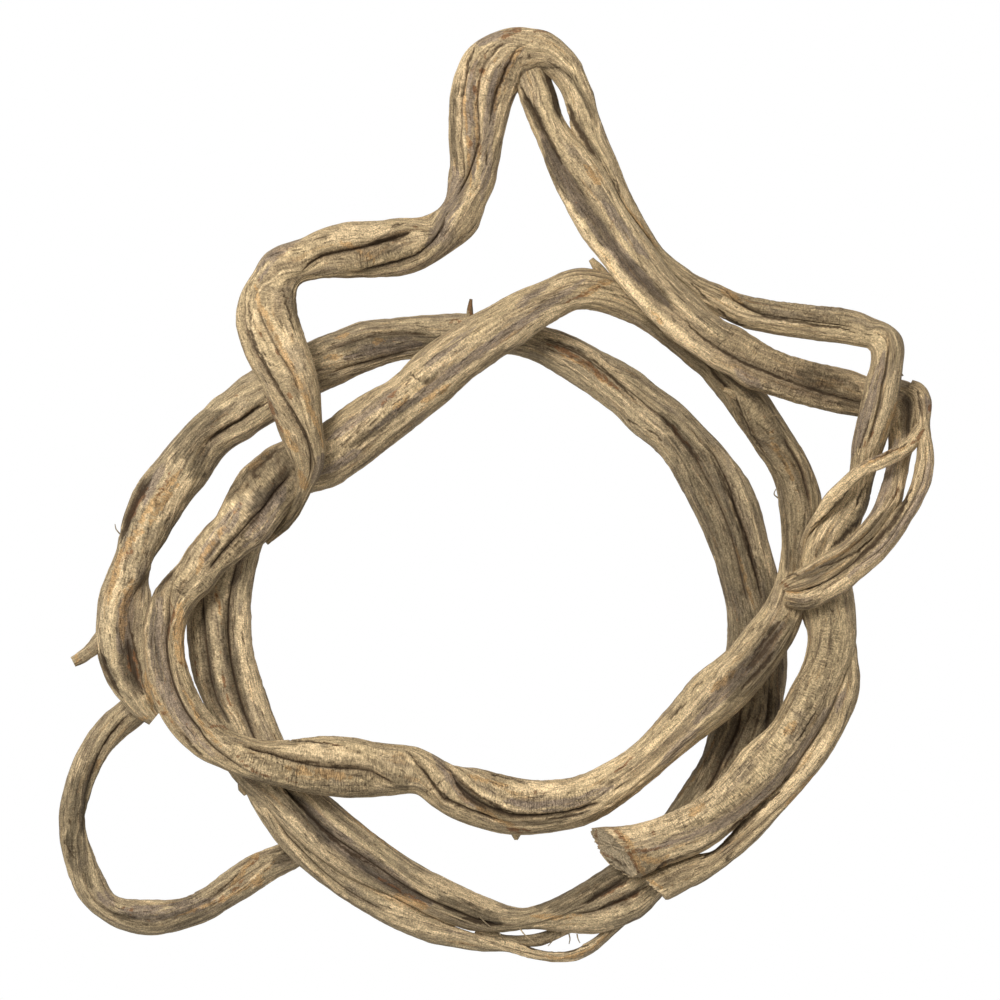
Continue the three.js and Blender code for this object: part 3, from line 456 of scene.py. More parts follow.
# The ring underneath: inner left strands, along the bottom, up the right, back over and left
BACK_STEM = {
  "thickness": 0.78,
  "spine": points("""
    262,522,19 243,552,16 230,580,14 222,610,14 219,640,14 223,670,14 232,700,14 245,728,16
    259,752,19 273,775,22 291,797,25 311,818,27 334,837,27 362,857,25 394,876,21 430,893,18
    455,905,16 483,914,15 509,919,14 536,917,14 564,914,14 590,907,14 622,889,14 652,862,14
    682,832,14 708,802,14 730,770,14 743,735,14 752,695,14 756,655,14 755,620,14 750,585,14
    741,550,14 728,515,14 712,482,14 690,450,14 662,420,14 631,397,14 600,376,14 572,361,14
    545,348,14 520,340,14 495,336,14 468,335,14 440,336,14 410,338,14 380,343,14 350,352,14
    320,365,14 290,382,14 262,397,14 235,414,14 210,433,14 190,454,15 172,480,15 157,507,15
    145,535,15 133,563,16 126,592,17 123,622,18 123,650,20 127,675,22 135,697,24 146,712,25
    154,719,25"""),
  "left": points("""
    270,530 263,546 255,575 251,600 252,640 254,655 260,675 270,705 283,738 297,765 313,784
    331,798 364,825 402,853 440,876 479,895 504,904 524,908 555,898 581,884 606,868 630,848
    662,817 672,803 688,780 703,754 708,734 716,700 723,670 726,647 727,627 725,600 714,560
    700,525 685,495 665,460 650,445 630,430 620,418 600,402 580,388 550,369 535,361 507,354
    480,356 450,357 410,359 400,360 380,366 360,374 340,385 321,393 300,405 274,422 258,431
    250,438 240,443 230,450 222,458 216,467 208,480 200,490 190,502 180,518 172,530 163,545
    152,560 150,578 151,600 152,640 155,680 160,706 161,714"""),
  "right": points("""
    243,508 222,540 203,570 192,600 187,623 188,640 190,660 193,676 203,700 212,722 219,745
    226,768 240,786 262,806 285,830 310,852 340,873 375,890 393,897 415,908 440,920 470,930
    500,932 530,929 568,932 598,933 627,924 642,917 658,901 676,880 692,858 705,836 728,808
    757,775 778,735 783,703 787,672 787,657 785,625 781,595 777,570 768,541 759,506 747,478
    728,452 700,422 680,402 660,388 640,372 620,360 600,350 580,339 560,331 545,327 520,321
    490,316 465,314 440,315 420,316 400,318 380,320 360,322 350,326 340,330 320,337 307,343
    280,355 250,372 240,378 225,392 215,398 205,408 190,421 180,432 170,443 162,453 155,462
    148,470 140,480 132,492 127,505 122,518 120,530 117,550 110,568 105,580 100,593 97,618
    96,640 98,657 105,678 112,690 125,706 135,717 148,723"""),
  "slots": [
    [
      [0.36, points("""
    240,552 236,567 230,590 228,640 237,690 253,735 265,758 277,778 290,795 324,829 333,836
    377,866 415,891 453,909 491,923 512,927""")],
      [0.3, points("575,908 588,902 600,895 615,885 633,874")],
      [0.34, points("700,800 712,783 722,760 735,735 742,705")],
      [0.22, points("""
    752,615 747,600 740,570 735,548 730,530 722,510 715,495 705,475 695,457 680,436 668,422
    655,412 640,400 625,388 612,378 600,369 585,358 570,350 550,342 535,335""")],
      [0.22, points("420,349 400,352 380,357 350,366 335,371 318,377")],
      [0.36, points("268,402 250,413 235,423 220,432 205,444 200,450")],
      [0.4, points("150,565 142,580 134,597 129,615 128,638 130,660 136,684 145,706"), 0.9],
    ],
    [
      [0.3, points("215,565 206,590 205,610 207,640 210,665 215,690 232,730")],
      [0.22, points("278,790 300,812 322,836 350,862 385,885 420,902"), 0.6],
      [0.25, points("565,914 590,912 610,906 630,897 648,887")],
      [0.2, points("760,735 767,715 768,680")],
      [0.3, points("""
    763,600 756,575 752,560 748,542 740,520 733,500 728,485 720,468 713,455 700,435""")],
      [0.22, points("438,337 410,334 390,335 370,337 345,345 330,350 313,357")],
      [0.12, points("250,385 235,395 225,402")],
      [0.3, points("155,474 140,495 130,510 122,530 118,545"), 0.7],
      [0.25, points("103,655 108,668 115,685 125,700")],
    ],
  ],
}

# The lower lobe of the bottom bundle, which leaves it as a thin strand and joins it again
THIN_STEM = {
  "thickness": 0.85,
  "spine": points("""
    252,770,19 261,791,21 274,816,23 292,842,24 317,866,23 350,889,20 385,908,17 420,922,14
    455,934,13 485,941,12 510,944,10 532,951,8 555,956,7 578,955,8 598,944,10 612,931,12
    624,919,14"""),
  "left": points("""
    268,765 275,783 285,803 302,832 330,860 360,878 393,896 415,908 440,921 460,929 480,935
    500,937 513,939 537,949 568,951 588,942 598,935 610,922"""),
  "right": points("""
    240,773 246,792 256,812 267,829 279,845 297,864 325,886 351,904 377,919 402,932 428,942
    453,947 479,951 509,952 530,958 555,962 573,961 593,953 611,938 622,928"""),
  "slots": [[
    [0.3, points("258,790 270,805 285,832 300,848 320,868 345,888 370,903 395,915")],
    [0.2, points("470,935 495,944 520,951 555,957 585,950")],
  ]],
}

# The short strand that lies behind the thin one
MIDDLE_STRAND = {
  "thickness": 0.9,
  "spine": points("478,926,10 500,937,9 518,940,8 538,940,8 557,933,9 580,922,11"),
  "left": points("480,918 500,933 515,935 532,934 548,930 562,925 578,915"),
  "right": points("474,934 500,942 515,945 530,947 542,946 554,941 566,935 584,928"),
  "slots": [[[0.12, points("490,934 515,941 540,940 565,930")]]],
}

# The small loop at the lower left
SIDE_LOOP = {
  "thickness": 0.88,
  "spine": points("""
    305,850,7 287,859,7 268,868,7 245,878,7 220,891,7 195,903,7 170,912,7 145,917,7 120,913,7
    100,902,7 86,882,7 77,860,7 73,835,7 73,808,7 80,784,7 90,762,7 103,742,7 118,726,7
    134,712,7 152,700,7"""),
  "left": points("""
    308,862 295,869 279,877 257,891 234,904 208,920 179,930 152,935 125,931 100,918 78,896
    62,851 59,817 65,784 78,750 98,721 120,702 140,689"""),
  "right": points("""
    295,838 277,844 263,850 246,858 223,873 205,887 183,898 163,900 138,899 117,896 107,882
    96,860 86,833 86,811 94,784 107,757 125,737 143,723 160,710"""),
  "slots": [[
    [0.16, points("290,858 270,862 250,873 225,890 200,905 175,915")],
    [0.14, points("150,922 125,918 108,910 92,896")],
    [0.3, points("84,840 82,820 83,800 88,780 95,762 103,745 115,730 128,715")],
  ]],
}

# Broken twig stubs and knots
LEFT_TWIG = stub(
    "116,634,18 104,640,18 97,645,18 90,651,18 82,657,19 77,660,20 73,662,20",
    (12, 13.5, 10.5, 7.6, 6.6, 6.4, 5.2))
TOP_TWIG = stub("474,326,14 470,315,17 470,307,19 471,299,20", (5, 4, 3, 1.5))
CREST_TWIG = stub("606,280,33 600,270,36 595,264,37 591,259,37", (7, 6, 5, 3))
FRONT_KNOT = stub("516,816,33 516,825,33 516,831,32 516,836,32 516,840,31", (6, 5, 6.5, 5.5, 2))
ARM_KNOT = stub("430,373,39 420,370,41 411,369,39", (2, 6, 2))
RING_STUB = stub("738,397,28 731,392,31 724,389,32", (5, 4, 2.5))
LOWER_KNOT = stub("239,781,22 242,788,22 246,795,22", (2, 4.5, 2))

# Colours of single ridges, cracks and spots, and painted light, shade and shadow: kind, half width in
# pixels, routes with / between
STROKES = {
    "main": """
grey 5: 640,852 660,847 680,839 702,831 724,821 741,811 757,800 768,792 785,774 806,745 826,716 842,692
  850,668 / 884,352 879,375 872,397 866,417 858,440 851,458 / 522,50 506,64 497,82 492,100 489,125
  487,150 485,175 482,200 / 478,43 490,36 503,33 / 300,240 285,246 272,256 263,268 260,280;
orange 1: 777,789 766,799 754,809 744,818 734,827 727,833 / 660,874 663,869 666,863 / 467,66 465,88
  465,108 467,130 469,150 470,172 471,195;
light 20: 620,845 660,832 700,810 740,780 775,745 800,710;
wrinkle 17: 640,835 680,820 720,797 760,765 790,730 810,695 825,660 830,630 828,600;
pale 3: 652,868 680,853 700,845 730,828 760,803 782,783;
pale 1.3: 845,670 836,694 820,718 800,743 778,767 752,790 / 866,480 858,492 854,505 850,514 846,522 /
  482,80 479,98 478,118 480,138 481,158 / 243,315 248,330 255,344 263,357 272,372;
pale 9: 612,833 640,830 670,822 700,806 730,783;
rust 1.8: 611,828 618,833 624,841 628,850 632,859 636,868 640,876 / 474,87 476,93;
orange 2.5: 617,829 624,836 630,846 635,856 640,867 646,877;
rust 2: 650,832 655,835 / 480,143 479,154 / 535,31 548,31 558,35 / 287,390 292,399;
rust 1.4: 612,829 619,834 624,840 627,847 / 276,347 279,357;
rust 1: 626,853 634,853 643,852 655,849 / 622,851 640,850 655,849 668,846 / 260,331 262,337;
dark 1.8: 659,874 667,869 675,864;
dark 1.3: 728,832 742,821 757,808 771,796 784,783 797,768;
orange 3: 640,856 655,862 668,857 / 690,815 705,805 / 720,288 732,296 742,303 / 299,470 303,480 306,490
  / 285,430 290,442 297,452;
orange 4: 785,735 795,722;
dark 0.9: 655,872 668,862 684,857 / 527,44 518,48 512,57 508,65 504,75 502,84 497,93 495,104 / 283,288
  286,302 291,316 295,332;
dark 0.8: 815,712 806,728 797,742 / 831,610 836,612 / 612,178 617,184 620,194 / 645,250 650,258 654,262
  / 530,54 528,60 / 447,213 441,229 433,241 424,250 411,257 395,262 378,266 360,270 / 389,228 395,224
  405,222;
pale 4: 895,372 887,403 877,430 868,455;
orange 1.5: 897,400 890,420 882,442;
rust 0.8: 874,430 870,438 / 868,438 863,449;
dark 0.7: 869,420 863,438 858,452 / 622,204 632,217 643,231 652,243 / 690,282 700,292 708,301 / 487,150
  487,165 / 548,68 558,68 566,73 573,80;
dark 1: 868,483 860,494 856,507;
wrinkle 9: 866,490 855,515 838,530 / 519,60 513,74 507,90;
dim 3: 874,480 866,502 850,528 830,550 / 455,85 453,110 454,140 457,170;
light 14: 868,470 850,500 835,530 825,560 / 275,275 285,310 295,350 305,390;
dim 4: 833,530 815,555 / 541,68 555,67 565,72 572,79 579,88 586,99 592,112 597,126 / 570,106 576,121
  584,136 594,152 602,166;
dark 2: 832,547 842,538 852,529 860,519;
dark 1.2: 726,291 735,300 750,308 765,316 785,320 805,323 825,327 845,329 855,334 / 599,162 604,170
  608,177 613,184 617,193 620,200 / 474,48 469,62 465,78 463,92 462,104 / 248,296 250,320 252,335
  258,350 266,366 274,381 283,396 291,410 299,424 307,438 312,450 315,464;
wrinkle 12: 738,299 780,307 820,313 855,320;
dark 1.5: 718,309 725,317 735,324 745,327 / 503,42 497,49 492,56;
orange 1.3: 621,202 630,213 640,225 650,238 656,245;
grey 4: 476,60 472,80 470,105 470,130 472,155 474,180 / 322,455 318,468 312,482;
light 7: 520,66 511,82 506,100 502,120 500,140;
pale 1.8: 498,50 490,60 483,70 479,82 477,98 477,112 478,128 480,142 483,157 486,172;
orange 1.2: 498,56 488,66 481,78 477,95 476,110 477,130 478,150 478,170;
rust 2.5: 482,67 484,72 / 267,398 272,410 277,421 282,432;
light 3.5: 480,74 479,95 479,118 480,140;
light 3: 466,66 463,85 462,105 463,126;
rust 3.5: 502,38 511,32 521,29;
rust 1.2: 470,140 471,147;
pale 1.4: 470,51 464,66 461,80 460,95 461,110 462,125 464,138 466,155;
pale 0.9: 470,66 468,88 468,110 470,132 472,152 473,172;
orange 2.2: 525,47 515,55 509,67 501,84 496,100 494,112;
dark 2.4: 568,104 572,117 578,129 584,138 590,149 596,159;
light 9: 560,60 575,78 590,105 600,130;
pale 1.2: 470,52 463,70 460,90 460,112 462,130 465,150;
dark 1.4: 303,272 310,263 320,257 335,253 350,250 365,247 380,243 395,239 405,235 414,229;
rust 1.5: 414,227 418,228;
grey 9: 455,170 456,190 450,210 440,232 428,246;
orange 2: 340,242 360,250 375,262;
pale 8: 330,240 360,234 390,230;
wrinkle 8: 350,262 380,258 410,252;
pale 2: 258,298 263,318 270,333 276,348 283,362 / 268,322 276,337 284,352;
orange 1.8: 256,285 258,300 262,316;
orange 2.4: 261,303 270,325 280,346 290,366 297,381 305,398 313,416 320,434 323,448;
dim 5: 290,290 292,310 298,330;
pale 1.1: 284,393 292,406 300,421 308,436 314,451 317,466 318,478;
dim 7: 300,495 290,515 275,532""",
    "sawn": """
pale 2: 645,881 651,886 659,890 669,896;
orange 1.2: 648,880 656,885 664,889;
light 7: 690,876 706,864 722,852 738,838;
wrinkle 6: 690,858 670,872 655,880;
orange 3: 815,775 800,792 785,805;
dark 0.8: 735,850 728,858 722,864;
dark 2.6: 779,792 765,804 754,814 744,823 735,832 727,841 718,848 708,855 700,859;
light 16: 840,720 812,765 780,802 745,838 700,870;
grey 3: 845,690 836,712;
pale 5: 830,735 810,765 785,792 755,820""",
    "curl": """
grey 6: 541,132 555,164 570,186 586,211 602,233 618,252 636,272 652,289 668,305 / 896,440 891,465
  884,488 874,505 860,520;
dim 10: 545,142 557,166 571,187 587,211 602,232 618,252;
dim 7: 618,252 636,272 655,290 672,308;
dim 4: 524,95 534,114 545,134 / 541,68 547,80 552,93 557,108 563,122;
grey 4: 603,200 616,218 632,240 648,258 / 735,370 748,379 762,387;
pale 4: 560,192 572,212 585,235 600,258 615,278 632,296 650,315 668,331;
dark 1.3: 521,88 530,105 538,120 546,136 / 785,578 792,574 799,574;
dark 1.4: 685,321 700,335 720,350 740,361 770,374 800,385 830,395 858,402;
orange 1.5: 648,307 656,316 664,325;
wrinkle 13: 700,320 740,345 780,362 820,375 850,383;
wrinkle 7: 760,385 800,397 840,407;
orange 3: 585,165 600,185;
dim 12: 800,372 830,382 855,388;
dim 9: 840,404 870,410;
dark 3: 546,72 551,84 555,95 558,106 561,116;
dark 1.5: 530,103 538,118 545,133 553,148 562,165;
light 12: 560,165 590,220 620,262 660,305 700,345 740,372 / 905,395 905,440 895,480 880,515;
light 9: 640,268 680,312 720,350;
dim 8: 907,395 908,415 903,435;
pale 1.6: 912,462 906,479 897,496 886,508 872,521 855,536;
rust 1.4: 899,488 893,499;
orange 1.2: 872,528 856,543 838,555 820,564 805,573;
dim 5: 893,505 878,525 860,543 838,559 815,571 795,579;
dark 1.2: 879,535 866,545 851,555 836,562 820,568;
rust 1.5: 782,583 790,588""",
    "curl_outer": """
pale 1.4: 927,432 919,470 911,497 902,519 891,536 872,556 849,575 822,592 802,596 786,594;
dark 2.4: 911,490 899,513 886,530 864,552 837,571 809,586 790,589;
dim 5: 909,492 898,514 885,532 863,553 836,572 808,588;
light 9: 930,440 928,480 912,515 885,550 850,580 815,600;
grey 4: 930,450 929,470 924,488 914,506 900,527 884,546 866,563 848,577;
orange 1.5: 800,593 792,593 785,590;
dark 1: 918,388 920,405 921,418;
grey 3: 926,395 928,412;
rust 1.2: 930,405 930,412;
dim 3: 790,604 805,606 820,600""",
    "curl_bridge": """
pale 1.6: 911,455 891,464 874,471 858,478;
dark 0.8: 874,459 885,454 896,449 907,443;
dark 1.2: 811,528 824,519 836,505 848,492;
light 8: 920,436 890,457 860,475 835,500 812,530;
rust 1.8: 925,428 920,436 912,443;
orange 1.3: 905,446 890,452 876,459 865,465;
grey 2: 898,447 884,454 871,461;
pale 1.2: 838,485 828,496 820,508 812,522;
dark 0.9: 806,545 805,555""",
    "front": """
grey 4: 585,280 560,296 540,310 520,325 500,338 480,352 460,366 440,381 420,396 400,410 370,432 /
  400,386 385,399 365,414 345,429 328,441 / 360,450 340,462 322,474 / 700,728 680,745 660,765 / 432,752
  441,765 452,780 466,797 480,810;
grey 3.5: 548,284 530,297 515,308;
grey 3: 475,327 455,343 440,355 425,368;
pale 1.6: 560,300 540,317 520,332 500,346 480,361 460,375 440,391 420,406 400,419 380,433 360,448 /
  446,762 456,771 469,784 487,796 503,804 519,810 541,812 559,812 573,811 592,805 608,797 630,783;
pale 1.5: 480,318 460,330 440,345 425,360 410,372 395,384 380,396 360,410 340,422 / 404,752 416,768
  430,785 445,800 458,812;
pale 6: 590,300 560,312 530,330 505,348 / 520,788 545,790 568,789;
orange 2.5: 450,385 435,394 420,403 / 408,396 400,403 393,409;
rust 1.2: 398,390 388,398 380,405 / 606,284 592,290 576,298 563,303;
pale 2: 391,413 395,415;
pale 2.2: 411,369 418,367 424,371;
dark 0.8: 410,373 416,378 424,381 431,378 / 426,794 436,786 446,778 / 365,785 372,780 378,776 / 293,761
  310,762 325,762 / 292,462 276,478 262,494 250,510 / 183,590 172,592 172,600;
dim 3: 424,383 432,379 437,372;
orange 3: 612,281 600,285 590,291 580,296 / 712,692 735,671;
rust 1.1: 446,363 440,370 436,376;
dark 0.7: 330,450 345,441 362,430 378,419 391,409 / 740,412 750,430 765,455 / 668,720 680,708 690,700 /
  290,740 310,741 330,744 345,747 358,752 370,760 384,769;
orange 1.2: 770,430 775,445 783,460 790,475 795,490;
pale 1.2: 786,430 797,452 804,474 808,500 / 466,806 485,816 503,824 520,828 541,827 562,823 575,819
  595,812 620,798 645,780;
dark 1.4: 707,363 720,380 735,398 742,412 / 455,782 463,793 474,802 486,809 / 248,480 241,490 235,501;
dim 22: 650,320 690,350 730,390 760,425 785,470 795,520 792,565;
pale 5: 680,722 700,701 720,680 738,661 / 196,690 208,710 225,728;
dark 0.6: 715,682 722,676;
grey 7: 783,625 768,645 750,665 730,685 710,705 695,722;
dim 16: 790,622 776,642 760,662 745,680 730,698;
dark 3: 781,629 770,643 759,657 748,670;
dark 2: 774,652 763,666 752,679 742,690 / 172,571 163,582 155,594;
dark 1: 790,613 778,624 765,640 755,654 / 545,819 560,818 573,816 588,811 / 230,523 219,540 210,555
  203,566 / 178,728 190,744 203,758;
pale 1.1: 800,613 788,628 776,641 764,652;
dim 5.5: 458,783 472,797 488,808 505,815 522,818 541,820 560,819 575,815;
dark 1.3: 450,770 458,778 470,789 486,800 500,808 514,813;
light 20: 480,790 520,800 570,800 620,780 660,755 700,715;
dim 5: 420,398 385,423 350,447 / 174,570 163,584 154,600;
orange 2: 476,806 490,815 505,823 520,829 / 468,775 488,782 508,787 / 268,452 258,463 247,473 / 228,520
  216,538 205,556 196,574;
rust 1.8: 505,828 515,830 530,830;
grey 5: 505,800 540,806 580,800 612,787;
wrinkle 11: 480,786 520,800 560,803 600,793;
rust 0.9: 532,793 545,795;
dark 0.5: 490,774 510,779 530,782;
rust 1: 615,772 625,764 638,752 / 235,752 245,764 260,774 272,780 / 283,776 290,781 298,783 / 170,602
  174,612 170,625 169,640 / 172,658 180,662 188,668 / 152,690 162,710 175,728 190,745 / 205,727 215,726
  228,730;
dark 1.2: 407,751 420,766 432,782 445,796 456,807;
wrinkle 16: 235,755 265,768 300,778 340,783 380,780;
orange 4: 285,768 320,773 350,778;
rust 0.8: 313,742 330,744 342,747 / 241,502 234,512 228,522;
pale 7: 290,750 320,752 350,755;
dim 9: 395,775 405,788 / 305,462 285,478 268,492 250,508;
dim 6: 276,450 262,463 250,477 238,493 / 250,474 238,486 228,500 / 292,470 288,490 280,508;
dark 2.4: 275,451 264,462 256,471 248,480;
dim 7: 300,452 282,456 264,466 250,480 240,496;
dark 0.9: 262,512 248,528 236,544 226,560;
grey 6: 240,505 226,525 212,545 202,562;
dim 4: 155,602 153,630 155,655 162,680;
light 6: 181,595 180,625 182,655 190,685;
pale 3: 232,515 218,532 204,550 192,568;
wrinkle 9: 265,510 245,535 222,562 200,590 / 180,575 178,590 185,600 / 190,680 205,705 222,730 245,745;
grey 8: 285,480 275,500 262,522 244,545 / 160,600 157,625 158,650 163,675 172,698 184,720 198,740
  212,755;
orange 5: 180,605 178,630 180,650 184,665;
pale 1.3: 149,610 147,632 150,655 156,678;
orange 1.4: 149,680 156,698 166,714 / 184,690 195,712 208,732 222,748""",
    "back": """
grey 8: 300,800 325,828 350,850 380,873 405,890 430,903;
dim 7: 290,795 312,820 335,842 / 100,655 106,670 115,688;
pale 3: 290,816 310,836 335,859 355,875;
dark 1.2: 283,790 297,802 315,821 335,841 355,856 376,867;
pale 1.1: 378,868 395,876 415,888 440,901 465,913 487,921;
orange 3: 395,894 412,901 430,908 / 385,340 372,342 / 340,356 325,358 / 134,530 142,532;
dim 8: 440,900 470,912 500,924 / 128,642 128,662 134,685;
dark 2.5: 462,918 478,922 495,926;
rust 1.2: 372,874 402,891 425,904 / 600,897 615,889 630,880 / 612,905 630,898 645,891 / 236,397 238,396
  / 133,650 138,672 145,690;
dim 4: 345,850 372,871 402,888 430,903;
pale 1.3: 560,905 580,898 600,888 618,876 / 560,930 590,925 620,915 645,902 665,890;
pale 1.2: 370,866 392,878 415,890 440,903 / 125,565 117,590 110,615 108,640;
pale 1: 389,891 405,900 420,907;
pale 6: 420,875 450,888 480,900 505,911;
orange 1.2: 335,795 350,815 380,838 410,858 / 755,610 748,590 740,560 733,540 / 612,386 600,378 588,369
  575,361 560,354;
orange 2: 530,915 560,918 580,915 / 180,470 170,485 160,498 150,512 / 178,485 166,500 155,515 146,530 /
  172,479 156,498 140,523 129,540 118,562 111,587 108,603;
dark 1.9: 586,903 600,895 615,886 633,876 / 600,908 616,902 632,895 649,887;
pale 2.5: 535,926 560,930 590,932 612,928;
dim 16: 540,905 600,880 640,850 / 725,740 740,700 745,650 742,600;
dim 12: 640,850 680,800 720,740 735,700 745,640;
dim 10: 775,700 765,740 740,790;
orange 1: 660,815 700,770 716,735 / 216,580 218,595 220,615;
dark 1.3: 700,800 712,783 722,760 735,735 742,705;
dark 1: 770,690 769,715 765,735 / 754,700 744,728 730,758 716,780 / 129,622 133,640 137,655 141,670
  145,687;
dim 20: 740,620 730,555 712,510 690,465 670,440;
dim 14: 758,560 765,610 768,660 764,710 750,755;
dim 13: 766,688 756,716 743,745 728,775;
dark 0.9: 764,700 756,726 746,750;
dim 11: 220,412 196,434 176,460;
light 8: 392,893 415,905 445,916;
light 9: 240,590 243,640 256,700 275,745;
light 6: 212,590 213,640 222,690;
dim 9: 340,350 390,342 440,338 / 207,448 200,455 196,468 204,475;
dark 1.4: 762,598 756,575 750,555 742,530 734,505 725,485 716,465 708,450 / 268,402 250,413 235,423
  220,432 205,444;
rust 1.3: 670,424 680,436 690,448;
dark 1.1: 636,400 622,387 607,372 596,362 585,355 572,348 560,343 545,338;
rust 2.6: 618,388 607,380 598,373 588,365 579,359 569,353 560,349 548,344;
pale 2: 641,405 632,391 624,381 617,373 607,365 598,358 588,351 579,345 569,341 560,337 545,332;
dim 6: 660,414 670,424 682,438 695,456 / 430,338 400,340 370,343 / 228,600 228,640 235,680 248,720;
dark 1.6: 662,417 673,428 685,443 700,462;
dark 0.8: 645,428 654,434 662,441 / 627,420 636,424 / 360,336 380,333 400,332 425,334;
grey 7: 420,344 395,346 370,351 345,358 / 130,590 126,615 124,640 128,660;
rust 1.4: 450,321 460,322 468,325;
orange 1.5: 350,333 335,338 / 150,716 140,720 128,716;
rust 1: 172,470 165,485 155,500 / 135,548 125,558 118,563;
pale 5: 190,480 178,500 165,520;
grey 4: 165,465 155,480 143,505;
dim 5: 152,475 140,492 130,512 123,530 / 205,600 206,640 212,680 228,722;
dark 2.3: 151,479 138,497 130,513 125,528 120,543 / 128,640 131,660 137,680 143,695;
rust 2.5: 147,488 137,503 129,520;
pale 1.5: 175,481 159,500 143,526 132,543 121,564 114,589 / 194,469 181,485 166,511 153,527;
orange 2.5: 132,540 124,553 115,562;
orange 3.5: 132,580 126,600 123,620 122,640;
orange 1.4: 120,565 113,585 108,605;
dark 1.8: 99,650 104,665 112,682 122,698;
orange 4: 148,665 150,690 152,708;
rust 1.5: 127,655 130,672;
rust 0.8: 217,590 219,600 220,612 / 220,650 222,670 226,690 232,715;
rust 0.9: 195,650 196,665 197,680;
pale 7: 247,600 246,640 252,680 264,712;
dark 0.7: 242,630 245,645""",
    "thin": """
pale 1.7: 257,786 268,807 280,828 295,850 312,868 330,884 347,898;
pale 1.8: 420,912 440,922 460,930 480,937 500,943 520,949 545,955;
orange 1.2: 540,956 565,958 585,952 600,941 612,930;
light 6: 480,940 520,950 560,957 600,945 / 378,892 408,906 440,919 470,934;
rust 2: 440,914 465,925 490,937;
dim 3: 440,914 460,922 480,931 500,941;
pale 1.2: 440,908 454,914 470,921 483,928 499,938 515,945 / 454,926 476,937 505,949 531,956 563,957
  590,950;
dark 0.9: 520,945 545,950 570,951 590,944;
pale 1.3: 500,939 520,947 545,952 570,953 592,945 608,933""",
    "middle": """
dim 6: 500,938 530,941 560,934;
orange 1.3: 505,944 525,946""",
    "loop": """
orange 2: 262,850 250,862 240,875 230,888;
rust 1.3: 258,858 250,866 / 244,878 238,886 232,893;
rust 1.2: 225,895 215,902 / 130,909 133,910;
pale 1.4: 280,852 268,864 255,877 240,890 225,898 208,905 190,911;
orange 1.1: 275,862 262,874 248,886 235,893 215,902 195,910 175,917;
dark 0.8: 240,872 225,886 210,897 / 64,840 68,850 74,858;
dim 9: 285,850 275,862 / 90,885 74,850 72,810 85,765;
orange 4: 262,880 252,884;
grey 7: 215,900 185,908 150,914 120,910;
rust 1.6: 122,907 125,909;
rust 1: 145,911 146,912;
wrinkle 8: 200,893 185,903 172,910;
pale 4: 180,920 150,925 125,922;
wrinkle 5: 66,835 70,848 75,858;
dark 1: 68,820 70,824;
orange 1.5: 100,760 94,772;
dim 6: 82,835 81,815 83,795 89,775 98,755;
dark 1.2: 128,716 115,730 103,746;
grey 5: 100,893 112,905;
dim 7: 115,914 145,922 180,919 205,910""",
    "end_faces": """
dark 1: 597,855 603,858 609,862 616,867;
dark 1.5: 613,859 619,862 626,866;
dark 0.8: 618,870 624,872 631,875;
dim 4: 604,866 614,871 626,875;
rust 1.2: 600,852 607,856 613,858;
rust 0.9: 596,828 595,836 597,843 599,849;
orange 1.2: 606,861 614,866 622,870;
orange 2: 648,886 656,891 665,896""",
    "top_twig": """
dim 3: 474,326 470,307 471,299;
rust 1.2: 472,318 470,308 471,300""",
    "left_twig": """
rust 1.3: 88,648 90,654;
rust 1: 79,659 81,661;
orange 1.5: 76,656 77,664""",
}

STEMS = {
    "main": MAIN_STEM,
    "sawn": SAWN_STRAND,
    "curl": CURL_STEM,
    "curl_outer": CURL_OUTER,
    "curl_bridge": CURL_BRIDGE,
    "front": FRONT_STEM,
    "back": BACK_STEM,
    "thin": THIN_STEM,
    "middle": MIDDLE_STRAND,
    "loop": SIDE_LOOP,
    "left_twig": LEFT_TWIG,
    "top_twig": TOP_TWIG,
    "crest_twig": CREST_TWIG,
    "front_knot": FRONT_KNOT,
    "arm_knot": ARM_KNOT,
    "ring_stub": RING_STUB,
    "lower_knot": LOWER_KNOT,
}

# Loose fibres that stick out of the bark, with the stem that each grows from
FIBRE_RADII = (0.75, 0.6, 0.4)
FIBRE_SIDES = 6
FIBRES = {
    "front": (
        "444,776,30 447,780,31 449,784,31",
        "456,779,30 460,783,32 464,785,32",
        "476,797,30 481,801,32 486,805,31",
        "496,805,30 500,809,32 503,815,31",
        "508,828,28 514,833,30 521,834,30",
        "563,812,30 566,818,30 565,823,29",
        "120,534,24 116,529,25 115,524,25",
        "778,498,40 774,494,42 776,489,43",
    ),
    "bottom": (
        "519,927,22 524,934,24 531,940,24 539,946,23",
        "556,934,22 553,940,24 548,946,23",
        "569,934,22 570,939,23 569,944,22",
        "577,934,22 578,939,23 580,943,22",
        "498,930,22 501,936,23 506,943,22",
        "480,917,22 487,924,24 495,929,24 501,931,23",
    ),
    "curl": (
        "903,376,44 900,370,45 899,365,45",
        "780,417,42 776,415,43 771,416,43",
    ),
}


def smoothstep(t):
    t = np.clip(t, 0, 1)
    return t * t * (3 - 2 * t)


